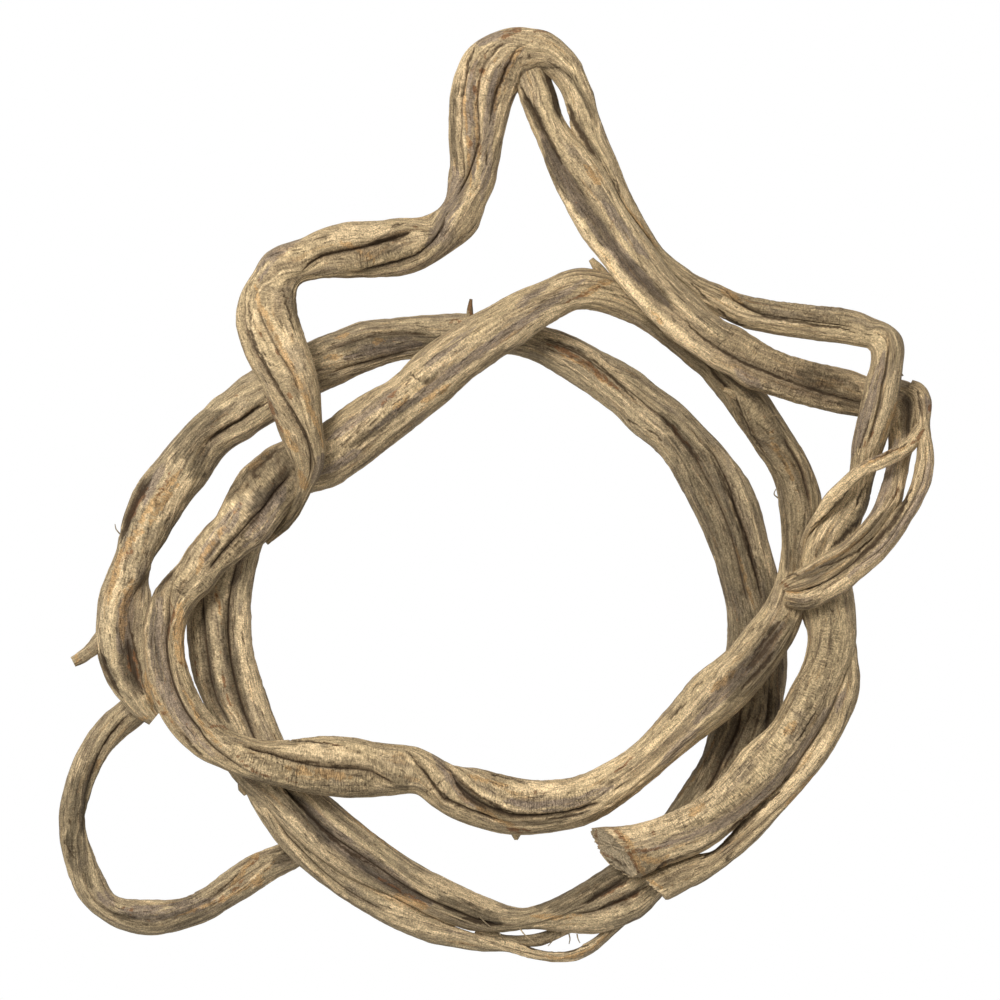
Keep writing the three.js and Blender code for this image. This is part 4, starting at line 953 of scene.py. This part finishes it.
def even_points(route, spacing):
    """Points at an even spacing along a smooth curve through the route."""
    p = np.vstack([2 * route[0] - route[1], route, 2 * route[-1] - route[-2]])
    u = np.linspace(0, 1, CURVE_STEPS, endpoint=False)[:, None]
    fine = []
    for a, b, c, d in zip(p[:-3], p[1:-2], p[2:-1], p[3:]):
        ta, tb, tc = (max(np.linalg.norm(gap), TINY) ** 0.5 for gap in (b - a, c - b, d - c))
        out = ((b - a) / ta - (c - a) / (ta + tb) + (c - b) / tb) * tb
        into = ((c - b) / tb - (d - b) / (tb + tc) + (d - c) / tc) * tb
        square = -3 * b + 3 * c - 2 * out - into
        cube = 2 * b - 2 * c + out + into
        fine.append(b + u * out + u**2 * square + u**3 * cube)
    fine = np.vstack(fine + [route[-1:]])
    along = np.concatenate([[0], np.cumsum(np.linalg.norm(np.diff(fine, axis=0), axis=1))])
    at = np.linspace(0, along[-1], max(2, round(along[-1] / spacing) + 1))
    return np.stack([np.interp(at, along, fine[:, k]) for k in range(fine.shape[1])], 1)


def average(values, reach):
    padded = np.pad(values, reach, mode="edge")
    kernel = np.ones(2 * reach + 1) / (2 * reach + 1)
    return np.convolve(padded, kernel, mode="valid")


def offsets_along(route, line, side, first=1.0):
    """How far a route lies to the left of the spine, at each station that it passes."""
    hits = []
    low, high = 0, round((len(line) - 1) * first)
    for sample in even_points(route[:, :2], ROUTE_STEP):
        gap = np.hypot(*(line[low : high + 1, :2] - sample).T)
        best = low + int(gap.argmin())
        hits.append((best, float((sample - line[best, :2]) @ side[best])))
        low, high = max(0, best - SEARCH), min(len(line) - 1, best + 3 * SEARCH)
    at, where = np.unique([h[0] for h in hits], return_inverse=True)
    offsets = np.bincount(where, [h[1] for h in hits]) / np.bincount(where)
    return at, offsets


def slot_along(grooves, line, side, half, shift):
    """Where the grooves of one slot run across the stem, and their depths and reaches."""
    stations = np.arange(len(line))
    depths = np.zeros(len(line))
    reaches = np.full(len(line), GROOVE_REACH)
    runs = []
    for depth, route, *reach in grooves:
        at, offsets = offsets_along(route, line, side)
        fade = min(SLOT_FADE, (at[-1] - at[0]) / 3)
        runs.append((at, (offsets - shift[at]) / half[at]))
        span = smoothstep((stations - at[0]) / fade) * smoothstep((at[-1] - stations) / fade)
        depths = np.maximum(depths, depth * span)
        if reach:
            reaches[at[0] : at[-1] + 1] = reach[0]
    at, offsets = (np.concatenate(values) for values in zip(*runs))
    order = np.argsort(at, kind="stable")
    across = average(np.interp(stations, at[order], offsets[order]), SLOT_EASE)
    return across, depths, reaches


def measure(stem):
    """A stem's spine, width, height and grooves at each station."""
    line = even_points(stem["spine"], STATION)
    count = len(line)
    stations = np.arange(count)
    ahead = line[np.minimum(stations + LOOK, count - 1), :2]
    behind = line[np.maximum(stations - LOOK, 0), :2]
    along = (ahead - behind) / np.linalg.norm(ahead - behind, axis=1)[:, None]
    side = np.stack([along[:, 1], -along[:, 0]], 1)
    if "radii" in stem:
        left = np.interp(stations, np.linspace(0, count - 1, len(stem["radii"])), stem["radii"])
        right = -left
    else:
        edges = (offsets_along(stem[edge], line, side, FIRST_PART) for edge in ("left", "right"))
        left, right = (average(np.interp(stations, *edge), EDGE_EASE) for edge in edges)
    half = (left - right) / 2
    shift = (left + right) / 2
    return {
        "line": line, "side": side, "along": along, "half": half, "shift": shift,
        "thickness": average(half, THICKNESS_EASE) * SCALE * stem["thickness"],
        "slots": [slot_along(grooves, line, side, half, shift) for grooves in stem["slots"]],
    }


def grooves_of(stem):
    """The angle, depth and reach of every groove at each station, in order round the section."""
    count = len(stem["line"])
    across = [slot[0] / (1 - slot[1]) for slot in stem["slots"]]
    for k in range(len(across)):
        most = across[k - 1] - SLOT_SPACING if k else SLOT_LIMIT
        across[k] = np.minimum(across[k], most)
    for k in reversed(range(len(across))):
        least = across[k + 1] + SLOT_SPACING if k < len(across) - 1 else -SLOT_LIMIT
        across[k] = np.maximum(across[k], least)
    angles = [np.arccos(-value) for value in across][::-1]
    depths = [slot[1] for slot in stem["slots"]][::-1]
    reaches = [slot[2] for slot in stem["slots"]][::-1]
    for k in range(1, UNDERSIDE_GROOVES + 1):
        drift = UNDERSIDE_DRIFT * np.sin(np.arange(count) / DRIFT_LENGTH + k)
        angles.append(np.pi * (1 + k / (UNDERSIDE_GROOVES + 1)) + drift)
        depths.append(np.full(count, UNDERSIDE_DEPTH))
        reaches.append(np.full(count, GROOVE_REACH))
    return np.array(angles), np.array(depths), np.array(reaches)


def hash_noise(cell, seed):
    mixed = ((cell * HASH_CELL).sum(axis=-1) + seed * HASH_SEED) & HASH_MASK
    mixed = ((mixed ^ (mixed >> HASH_SHIFTS[0])) * HASH_MIX) & HASH_MASK
    mixed = (mixed ^ (mixed >> HASH_SHIFTS[1])) & HASH_LOW
    return mixed / (HASH_LOW / 2) - 1


def noise(grain, size, seed):
    """Smooth noise from -1 to 1 over the grain, with cells of that size in millimetres."""
    p = grain / np.array(size)
    cell = np.floor(p).astype(np.int64)
    part = p - cell
    part = part * part * (3 - 2 * part)
    total = np.zeros(grain.shape[:-1])
    for corner in product((0, 1), repeat=3):
        weight = np.prod(np.where(corner, part, 1 - part), axis=-1)
        total += weight * hash_noise(cell + np.array(corner), seed)
    return total


def thin_lines(grain, size, width, seed):
    """Lines along the stem, where a noise passes through zero."""
    return np.exp(-((noise(grain, size, seed) / width) ** 2))


def columns_of(angles, sides):
    """Angles of the mesh's columns: one runs along each groove, with closer ones beside it."""
    gaps = np.roll(angles, -1, axis=0) - angles
    gaps[-1] += 2 * np.pi
    middles = (angles + gaps / 2).mean(axis=1)
    shares = gaps.mean(axis=1) * np.where(np.sin(middles) > 0, 1, UNDERSIDE_SHARE)
    shares /= shares.sum()
    columns = []
    for angle, gap, share in zip(angles, gaps, shares):
        steps = max(FEWEST_COLUMNS, round(sides * share))
        t = np.arange(steps) / steps
        t = t - CROWDING * np.sin(2 * np.pi * t) / (2 * np.pi)
        columns.append(angle[:, None] + gap[:, None] * t)
    return np.concatenate(columns, axis=1), gaps


def carve(columns, angles, depths, reaches, gaps):
    """How much of the radius the grooves leave, and how near each place is to a groove, for painted
    shade.
    """
    factor = np.ones_like(columns)
    groove = np.zeros_like(columns)
    crack_and_shade = np.zeros_like(columns)
    for k, (angle, depth, reach) in enumerate(zip(angles, depths, reaches)):
        away = (columns - angle[:, None] + np.pi) % (2 * np.pi) - np.pi
        room = np.where(away > 0, gaps[k][:, None], gaps[k - 1][:, None])
        wide = (reach > GROOVE_REACH)[:, None]
        t = np.clip(np.abs(away) / np.minimum(reach[:, None], room * GROOVE_ROOM), 0, 1)
        shape = np.where(wide, 1 - t * t, 1 - t)
        factor *= 1 - depth[:, None] * shape**2
        strength = np.clip(depth / FULL_DEPTH, 0, 1)[:, None]
        # Painted shade in the valley, and a dark line of painted shade along a narrow groove's bottom
        groove = np.maximum(groove, strength * shape**2 * np.where(wide, VALLEY_SHADE_STRENGTH, 1.0))
        line = np.exp(-((np.abs(away) / CRACK_WIDTH) ** 2))
        crack_and_shade = np.maximum(crack_and_shade, strength * line * ~wide)
    return factor, groove, crack_and_shade


def strokes_of(name):
    """The kind, half width and route of every stroke on a stem."""
    strokes = []
    for group in filter(str.strip, STROKES.get(name, "").split(";")):
        head, routes = group.split(":")
        kind, width = head.split()
        for route in routes.split("/"):
            strokes.append((kind, float(width), even_points(points(route), STROKE_STEP)))
    return strokes


def wobbled(x, y):
    """Picture places moved a little to and fro, so that what is painted has ragged edges."""
    flat = np.stack([x, y, 0 * x], axis=-1)
    moved = []
    seed = 0
    for values in (x, y):
        for reach, cells in WOBBLES:
            seed += 1
            values = values + reach * noise(flat, cells, seed)
        moved.append(values)
    return np.stack(moved, axis=-1)


def paint(name, x, y, upper):
    """How strongly each kind of stroke marks each place on a stem's upper side."""
    spots = wobbled(x, y)
    amounts = {kind: np.zeros(x.shape) for kind in KINDS}
    for kind, width, route in strokes_of(name):
        reach = (1 + STROKE_CORE) * width + STROKE_EDGE
        inside = (spots > route.min(axis=0) - reach) & (spots < route.max(axis=0) + reach)
        near = upper & inside.all(axis=-1)
        if not near.any():
            continue
        gaps = ((spots[near][:, None] - route[None]) ** 2).sum(axis=2)
        share = np.linspace(0, 1, len(route))
        tip = smoothstep(TIP_RATE * np.minimum(share, 1 - share))
        half = width * (STROKE_TIP + (1 - STROKE_TIP) * tip)[gaps.argmin(axis=1)]
        past_core = np.sqrt(gaps.min(axis=1)) - STROKE_CORE * half
        amount = 1 - smoothstep(past_core / (half + STROKE_EDGE))
        amounts[kind][near] = np.maximum(amounts[kind][near], amount)
    return amounts


def relief(grain, seed, marks):
    """Lumps, ribs, fibres, wrinkles and fissures in millimetres, and the fissures alone."""
    places = smoothstep(noise(grain, SPLIT_PLACES, seed + 4) * SPLIT_GAIN - SPLIT_START)
    fissure = thin_lines(grain, SPLIT_CELLS, SPLIT_WIDTH, seed + 3) * places
    wrinkle = noise(grain, WRINKLE_CELLS, seed + 5) * marks["wrinkle"]
    ridge = thin_lines(grain, RIDGE_CELLS, RIDGE_WIDTH, seed + 7)
    marks["pale"] = np.maximum(marks["pale"], RIDGE_STRENGTH * ridge)
    height = sum(high * noise(grain, cells, seed + own) for cells, own, high in RELIEF)
    height = height + WRINKLE_HEIGHT * wrinkle + PALE_HEIGHT * marks["pale"]
    height = height - DARK_DEPTH * marks["dark"] - SPLIT_DEPTH * fissure
    return height, fissure


def lean_of(across, up, rows, face, seed):
    """How far each place moves along the stem so that the stem ends in a slanted face."""
    slant, skew, ragged = face
    turn = np.arctan2(up[0], across[0])
    rim = np.stack([np.cos(turn), np.sin(turn), 0 * turn], axis=-1)
    fine = noise(rim * FINE_TEETH, (1, 1, 1), seed + 1) * FINE_TEETH_SHARE
    rough = noise(rim * TEETH, (1, 1, 1), seed) + fine
    ease = np.clip(1 - rows / FACE_ROWS, 0, 1)[:, None] ** 2
    return (slant * up / SCALE + skew * across) * ease + rough * ragged * ease**3


def skin(name, start, end, sides, start_face=SQUARE, end_face=SQUARE, amount=1.0):
    """Positions in metres and attributes of a stem's bark between two stations."""
    stem = measured[name]
    seed = SEEDS_APART * list(STEMS).index(name)
    rows = np.arange(start, end + 1)
    if stem["slots"]:
        angles, depths, reaches = grooves_of(stem)
        columns, gaps = columns_of(angles, sides)
        factor, groove, crack_and_shade = carve(columns, angles, depths, reaches, gaps)
        columns, factor, groove, crack_and_shade = (v[rows] for v in (columns, factor, groove, crack_and_shade))
    else:
        columns = np.tile(np.linspace(0, 2 * np.pi, sides, endpoint=False), (len(rows), 1))
        factor, groove, crack_and_shade = (value + 0 * columns for value in (1, 0, 0))
    line, side, along = (stem[key][rows] for key in ("line", "side", "along"))
    half, shift, thickness = (stem[key][rows, None] for key in ("half", "shift", "thickness"))
    turn = columns.mean(axis=0) + 0 * columns
    radius = float(np.mean(stem["half"]) * SCALE)
    length = rows[:, None] * STATION * SCALE + 0 * columns
    grain = np.stack([radius * np.cos(turn), radius * np.sin(turn), length], axis=-1)
    across = shift - np.cos(columns) * half * factor
    up = np.sin(columns) * thickness * factor
    lean = lean_of(across, up, rows - start, start_face, seed)
    lean = lean + lean_of(across, up, end - rows, end_face, seed)
    x = line[:, :1] + side[:, :1] * across + along[:, :1] * lean
    y = line[:, 1:2] + side[:, 1:2] * across + along[:, 1:2] * lean
    marks = paint(name, x, y, np.sin(columns) > UPPER)
    height, fissure = relief(grain, seed, marks)
    outwards = -np.cos(columns) * height * amount / SCALE
    up = up + np.sin(columns) * height * amount
    x = x + side[:, :1] * outwards
    y = y + side[:, 1:2] * outwards
    spots = np.stack(place(x, y, line[:, 2:3] + up), axis=-1) * MM
    spots[..., 2] = np.maximum(spots[..., 2], LOWEST)
    # The dark strokes are cracks and painted shadow; they join the fissures and the grooves' lines of
    # painted shade
    dark = STROKE_DARKNESS * marks.pop("dark")
    marks["crack_and_shade"] = np.maximum.reduce([crack_and_shade, SPLIT_DARKNESS * fissure, dark])
    return spots, {"grain": grain, "groove": groove, **marks}


def place(x, y, z):
    """A point of the picture at a height, as a place in the model in millimetres."""
    near = 1 - z / EYE_HEIGHT
    return (
        ((x - EYE[0]) * near + EYE[0] - MIDDLE[0]) * SCALE,
        -((y - EYE[1]) * near + EYE[1] - MIDDLE[1]) * SCALE,
        z - FLAT,
    )


def seen(spots):
    """Where in the picture places in metres are, the other way round than place."""
    x, y, z = spots.T / MM
    near = 1 - (z + FLAT) / EYE_HEIGHT
    return (
        (x / SCALE + MIDDLE[0] - EYE[0]) / near + EYE[0],
        (-y / SCALE + MIDDLE[1] - EYE[1]) / near + EYE[1],
    )


def face_rings(spots, inner, grain, rough):
    """Rings of a worn end face from its rim to its middle, with their grain."""
    middle = spots.mean(axis=0)
    direction = inner.mean(axis=0) - middle
    direction /= np.linalg.norm(direction)
    wave = np.sin(np.arange(len(spots)) * 2 * np.pi * END_WAVES / len(spots))
    rings, grains = [], []
    for step, share in enumerate(END_RINGS):
        dent = (END_DENT + END_WAVE * np.roll(wave, END_TWIST * step)) * (1 - share) ** 0.5
        rings.append(middle + (spots - middle) * share + direction * (rough * MM * dent)[:, None])
        grains.append(grain * np.array([share, share, 1]))
    return rings, grains


def closed(spots, facts, rough):
    """Closes both ends of a bark, and returns vertices, faces, attributes and the rims."""
    rows, sides = spots.shape[:2]
    index = np.arange(rows * sides).reshape(rows, sides)
    a, b = index[:-1], index[1:]
    faces = [np.stack([a, np.roll(a, -1, 1), np.roll(b, -1, 1), b], -1).reshape(-1, 4)]
    vertices = [spots.reshape(-1, 3)]
    grains = [facts["grain"].reshape(-1, 3)]
    total = rows * sides
    for row, inner in ((0, 1), (rows - 1, -2)):
        turned = slice(None, None, 1 if row == 0 else -1)
        rings, ring_grains = face_rings(spots[row], spots[inner], facts["grain"][row], rough)
        last = index[row]
        for ring, grain in zip(rings, ring_grains):
            here = total + np.arange(sides)
            quads = np.stack([last, here, np.roll(here, -1), np.roll(last, -1)], -1)
            faces.append(quads[:, turned])
            vertices.append(ring)
            grains.append(grain)
            last = here
            total += sides
        vertices.append(rings[-1].mean(axis=0)[None])
        grains.append(ring_grains[-1].mean(axis=0)[None])
        fan = np.stack([last, np.full(sides, total), np.roll(last, -1)], -1)
        faces.append(fan[:, turned])
        total += 1
    added = total - rows * sides
    marks = paint("end_faces", *seen(np.vstack(vertices[1:])), True)
    # There too the dark strokes are cracks and painted shadow
    marks["crack_and_shade"] = STROKE_DARKNESS * marks.pop("dark")
    marks["groove"] = np.zeros(added)
    values = {key: np.append(facts[key].ravel(), marks[key]) for key in facts if key != "grain"}
    values["cut"] = np.append(np.zeros(rows * sides), np.ones(added))
    values["grain"] = np.vstack(grains)
    rims = np.isin(np.arange(total), index[[0, -1]])
    return np.vstack(vertices), [face for group in faces for face in group.tolist()], values, rims


def mark_sharp(mesh, rims):
    """Keeps the rims of the end faces sharp, so that the bark beside them is shaded evenly."""
    ends = np.empty(2 * len(mesh.edges), dtype=np.int32)
    mesh.edges.foreach_get("vertices", ends)
    sharp = mesh.attributes.new("sharp_edge", "BOOLEAN", "EDGE")
    sharp.data.foreach_set("value", rims[ends].reshape(-1, 2).all(axis=1))


def make_piece(node, slot, parts):
    """One object of closed bark shells, which stands for a CAD node."""
    vertices, faces, values, rims = [], [], [], []
    base = 0
    for part in parts:
        rough = part.pop("rough", END_ROUGHNESS)
        v, f, facts, rim = closed(*skin(**part), rough)
        vertices.append(v)
        faces += [[corner + base for corner in face] for face in f]
        values.append(facts)
        rims.append(rim)
        base += len(v)
    name = f"{node}_bark"
    mesh = bpy.data.meshes.new(name)
    mesh.from_pydata(np.vstack(vertices).tolist(), [], faces)
    mesh.polygons.foreach_set("use_smooth", [True] * len(faces))
    mark_sharp(mesh, np.concatenate(rims))
    grain = mesh.attributes.new("grain", "FLOAT_VECTOR", "POINT")
    grain.data.foreach_set("vector", np.vstack([facts["grain"] for facts in values]).ravel())
    for key in MARKS:
        attribute = mesh.attributes.new(key, "FLOAT", "POINT")
        attribute.data.foreach_set("value", np.concatenate([facts[key] for facts in values]))
    mesh.materials.append(barks[slot])
    piece = bpy.data.objects.new(name, mesh)
    bpy.context.scene.collection.objects.link(piece)
    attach(piece, "root")
    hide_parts(node)


class Tree:
    """A short way to add nodes to a material."""

    def __init__(self, material):
        material.use_nodes = True
        self.nodes = material.node_tree.nodes
        self.links = material.node_tree.links
        self.nodes.clear()

    def put(self, socket, value):
        if isinstance(value, bpy.types.NodeSocket):
            self.links.new(value, socket)
        elif socket.type == "RGBA" and len(value) == 3:
            socket.default_value = (*value, 1)
        else:
            socket.default_value = value

    def add(self, kind, inputs, **settings):
        node = self.nodes.new(kind)
        for key, value in settings.items():
            setattr(node, key, value)
        for key, value in inputs.items():
            self.put(node.inputs[key], value)
        return node

    def attribute(self, name, output="Fac"):
        return self.add("ShaderNodeAttribute", {}, attribute_name=name).outputs[output]

    def noise(self, vector, size, detail, roughness, distortion):
        scaled = self.add("ShaderNodeMapping", {
            "Vector": vector, "Scale": tuple(1 / s for s in size)}).outputs["Vector"]
        return self.add("ShaderNodeTexNoise", {
            "Vector": scaled, "Scale": 1.0, "Detail": detail, "Roughness": roughness,
            "Distortion": distortion}).outputs["Fac"]

    def ramp(self, value, positions, colours):
        node = self.add("ShaderNodeValToRGB", {"Fac": value})
        band = node.color_ramp
        while len(band.elements) < len(positions):
            band.elements.new(0.5)
        for element, position, colour in zip(band.elements, positions, colours):
            element.position = position
            element.color = (*colour, 1)
        return node.outputs["Color"]

    def step(self, value, low, high, least=0.0, most=1.0):
        node = self.add("ShaderNodeMapRange", {
            "Value": value, "From Min": low, "From Max": high, "To Min": least, "To Max": most},
            interpolation_type="SMOOTHSTEP")
        return node.outputs["Result"]

    def maths(self, operation, *values):
        """The values joined by one operation, from the first to the last."""
        return reduce(lambda a, b: self.add(
            "ShaderNodeMath", {0: a, 1: b}, operation=operation).outputs[0], values)

    def times(self, *values):
        return self.maths("MULTIPLY", *values)

    def mix(self, share, a, b, blend="MIX"):
        node = self.add("ShaderNodeMix", {0: share, 6: a, 7: b}, data_type="RGBA")
        node.blend_type = blend
        return node.outputs[2]


def bark_material(name, pale, mid, deep, warmth):
    """Dry grooved bark: streaks and fibres along the stem, speckle, wrinkles, dark cracks, and painted
    light, shade and shadow.
    """
    material = bpy.data.materials.new(name)
    tree = Tree(material)
    grain = tree.attribute("grain", "Vector")
    noises = {key: tree.noise(grain, *values) for key, values in NOISES.items()}

    def step(key, value=None):
        return tree.step(noises[key] if value is None else value, *STEPS[key])

    def broken(kind):
        """A painted kind, which a noise breaks up into patches."""
        texture, low, high = BREAKS[kind]
        share = step("break", noises[texture])
        return tree.step(tree.times(tree.attribute(kind), share), low, high)

    def painted(kind, under):
        strength, over = BANDS[kind]
        return tree.mix(tree.times(broken(kind), strength), under, over)

    colour = tree.ramp(noises["streak"], STREAK_STOPS, (deep, mid, pale))
    colour = tree.mix(step("fibre"), colour, pale)
    colour = tree.mix(step("patch"), colour, GREY)
    colour = painted("pale", colour)
    colour = painted("grey", colour)
    colour = tree.mix(tree.times(step("warm"), warmth), colour, ORANGE)
    colour = painted("orange", colour)
    # Painted shade in the groove valleys
    groove = step("groove", tree.attribute("groove"))
    colour = tree.mix(tree.times(groove, VALLEY_SHADE_SHARE), colour, VALLEY_SHADE)
    wood = tree.ramp(noises["ring"], CUT_STOPS, (CUT_DEEP, CUT_PALE))
    colour = tree.mix(step("cut", tree.attribute("cut")), colour, wood)

    # Painted light and painted shade: light strokes brighten the colour and dim strokes darken it,
    # broken up by a noise
    light = step("light", tree.attribute("light"))
    worn = step("dim_wear", noises["wear"])
    shade = step("dim", tree.times(tree.attribute("dim"), worn))
    colour = tree.mix(1.0, colour, tree.times(light, shade), blend="MULTIPLY")
    colour = tree.mix(step("fleck"), colour, RUST)
    colour = painted("rust", colour)
    grit = tree.times(step("speckle"), step("mottle"), step("thread"))
    colour = tree.mix(1.0, colour, grit, blend="MULTIPLY")

    line = step("fine_crack")
    colour = tree.mix(line, colour, DARK)
    wrinkled = tree.maths("MAXIMUM", broken("wrinkle"), step("zone"))
    lines = tree.times(step("wrinkle"), wrinkled, WRINKLE_SHARE)
    colour = tree.mix(lines, colour, DARK)
    # Cracks, fissures, painted shadow and the grooves' painted shade in dark, broken up by a noise
    torn = tree.times(tree.attribute("crack_and_shade"), step("torn", noises["mottle"]))
    colour = tree.mix(step("crack_and_shade", torn), colour, DARK)

    height = tree.maths(
        "ADD", *(tree.times(noises[key], share) for key, share in BUMPS.items()),
        tree.times(noises["wrinkle"], wrinkled, WRINKLE_BUMP),
        tree.times(line, LINE_BUMP), tree.times(lines, LINE_BUMP))
    bump = tree.add("ShaderNodeBump", {
        "Strength": 1.0, "Distance": BUMP_DISTANCE, "Height": height})
    shader = tree.add("ShaderNodeBsdfPrincipled", {
        "Base Color": colour, "Roughness": BARK_ROUGHNESS, "Specular IOR Level": BARK_SPECULAR,
        "Normal": bump.outputs["Normal"]})
    tree.add("ShaderNodeOutputMaterial", {"Surface": shader.outputs["BSDF"]})
    return material


def nearest(name, spot):
    line = measured[name]["line"]
    return int(np.hypot(line[:, 0] - spot[0], line[:, 1] - spot[1]).argmin())


def stretch(name, start, end, sides, **more):
    return {"name": name, "start": start, "end": end, "sides": sides, **more}


def whole(name, sides, **more):
    return stretch(name, 0, last[name], sides, **more)


def fibres(name):
    return [whole(f"{name}_fibre_{k}", FIBRE_SIDES, amount=0) for k in range(len(FIBRES[name]))]


# The materials
barks = {name: bark_material(name, *look) for name, look in BARKS.items()}

# The stems and the loose fibres at their stations, and the stations of the forks
for name, routes in FIBRES.items():
    for k, route in enumerate(routes):
        STEMS[f"{name}_fibre_{k}"] = stub(route, FIBRE_RADII)
measured = {name: measure(stem) for name, stem in STEMS.items()}
last = {name: len(stem["line"]) - 1 for name, stem in measured.items()}
main_fork = nearest("main", ARM_FORK["main"])
curl_fork = nearest("curl", ARM_FORK["curl"])
back_fork = nearest("back", BOTTOM_FORK)

# The pieces: columns round each stem, strength of a slight relief, millimetres of a rough end
make_piece("sawn_arm", "pale_bark", [
    stretch("main", 0, main_fork, 120, start_face=SAWN_FACE, rough=1.6),
    whole("sawn", 48, end_face=STRAND_FACE, rough=1.2),
])
make_piece("crest_bend", "pale_bark", [
    stretch("main", main_fork, last["main"], 120),
    stretch("curl", 0, curl_fork, 96),
])
make_piece("curl_arm", "split_bark", [
    stretch("curl", curl_fork, last["curl"], 96),
    whole("curl_outer", 56),
    whole("curl_bridge", 48, amount=0.6),
    *fibres("curl"),
])
make_piece("front_ring", "pale_bark", [
    whole("front", 100),
    whole("crest_twig", 32, amount=0.6),
    whole("front_knot", 32, amount=0.6),
    whole("arm_knot", 24, amount=0.5),
    whole("ring_stub", 24, amount=0.5),
    *fibres("front"),
])
make_piece("bottom_stem", "grey_bark", [
    stretch("back", 0, back_fork, 110),
    whole("thin", 56, amount=0.7),
    whole("middle", 40, amount=0.6),
    whole("lower_knot", 24, amount=0.5),
    *fibres("bottom"),
])
make_piece("back_ring", "grey_bark", [
    stretch("back", back_fork, last["back"], 110),
    whole("left_twig", 40, amount=0.6),
    whole("top_twig", 24, amount=0.5),
])
make_piece("side_loop", "grey_bark", [whole("loop", 80)])

# The floor
floor_mesh = bpy.data.meshes.new("floor")
floor_mesh.from_pydata(
    [(x * FLOOR_HALF, y * FLOOR_HALF, 0) for x, y in ((-1, -1), (1, -1), (1, 1), (-1, 1))],
    [], [(0, 1, 2, 3)])
floor = bpy.data.objects.new("floor", floor_mesh)
bpy.context.scene.collection.objects.link(floor)
white = bpy.data.materials.new("floor_white")
tree = Tree(white)
paper = tree.add("ShaderNodeEmission", {"Color": WHITE, "Strength": 1.0})
tree.add("ShaderNodeOutputMaterial", {"Surface": paper.outputs["Emission"]})
floor_mesh.materials.append(white)
floor.visible_diffuse = False

# Soft light from all round, with one large soft lamp
world = bpy.data.worlds.new("studio")
bpy.context.scene.world = world
world.use_nodes = True
world.node_tree.nodes["Background"].inputs["Color"].default_value = WHITE
world.node_tree.nodes["Background"].inputs["Strength"].default_value = SKY_STRENGTH
lamp_data = bpy.data.lights.new("key", "AREA")
lamp_data.size = LAMP_SIZE
lamp_data.energy = LAMP_POWER
lamp = bpy.data.objects.new("key", lamp_data)
lamp.location = LAMP_SPOT
lamp.rotation_euler = (-Vector(LAMP_SPOT)).to_track_quat("-Z", "Y").to_euler()
bpy.context.scene.collection.objects.link(lamp)

# The camera looks straight down, from where the picture was taken
camera_data = bpy.data.cameras.new("camera")
camera_data.sensor_width = SENSOR_WIDTH
camera_data.lens = SENSOR_WIDTH * EYE_HEIGHT / (PICTURE * SCALE)
camera_data.clip_end = CLIP_END
camera = bpy.data.objects.new("camera", camera_data)
camera.location = ((EYE[0] - MIDDLE[0]) * SCALE * MM, -(EYE[1] - MIDDLE[1]) * SCALE * MM,
                   (EYE_HEIGHT - FLAT) * MM)
bpy.context.scene.collection.objects.link(camera)
bpy.context.scene.camera = camera
bpy.context.scene.view_settings.view_transform = "Standard"
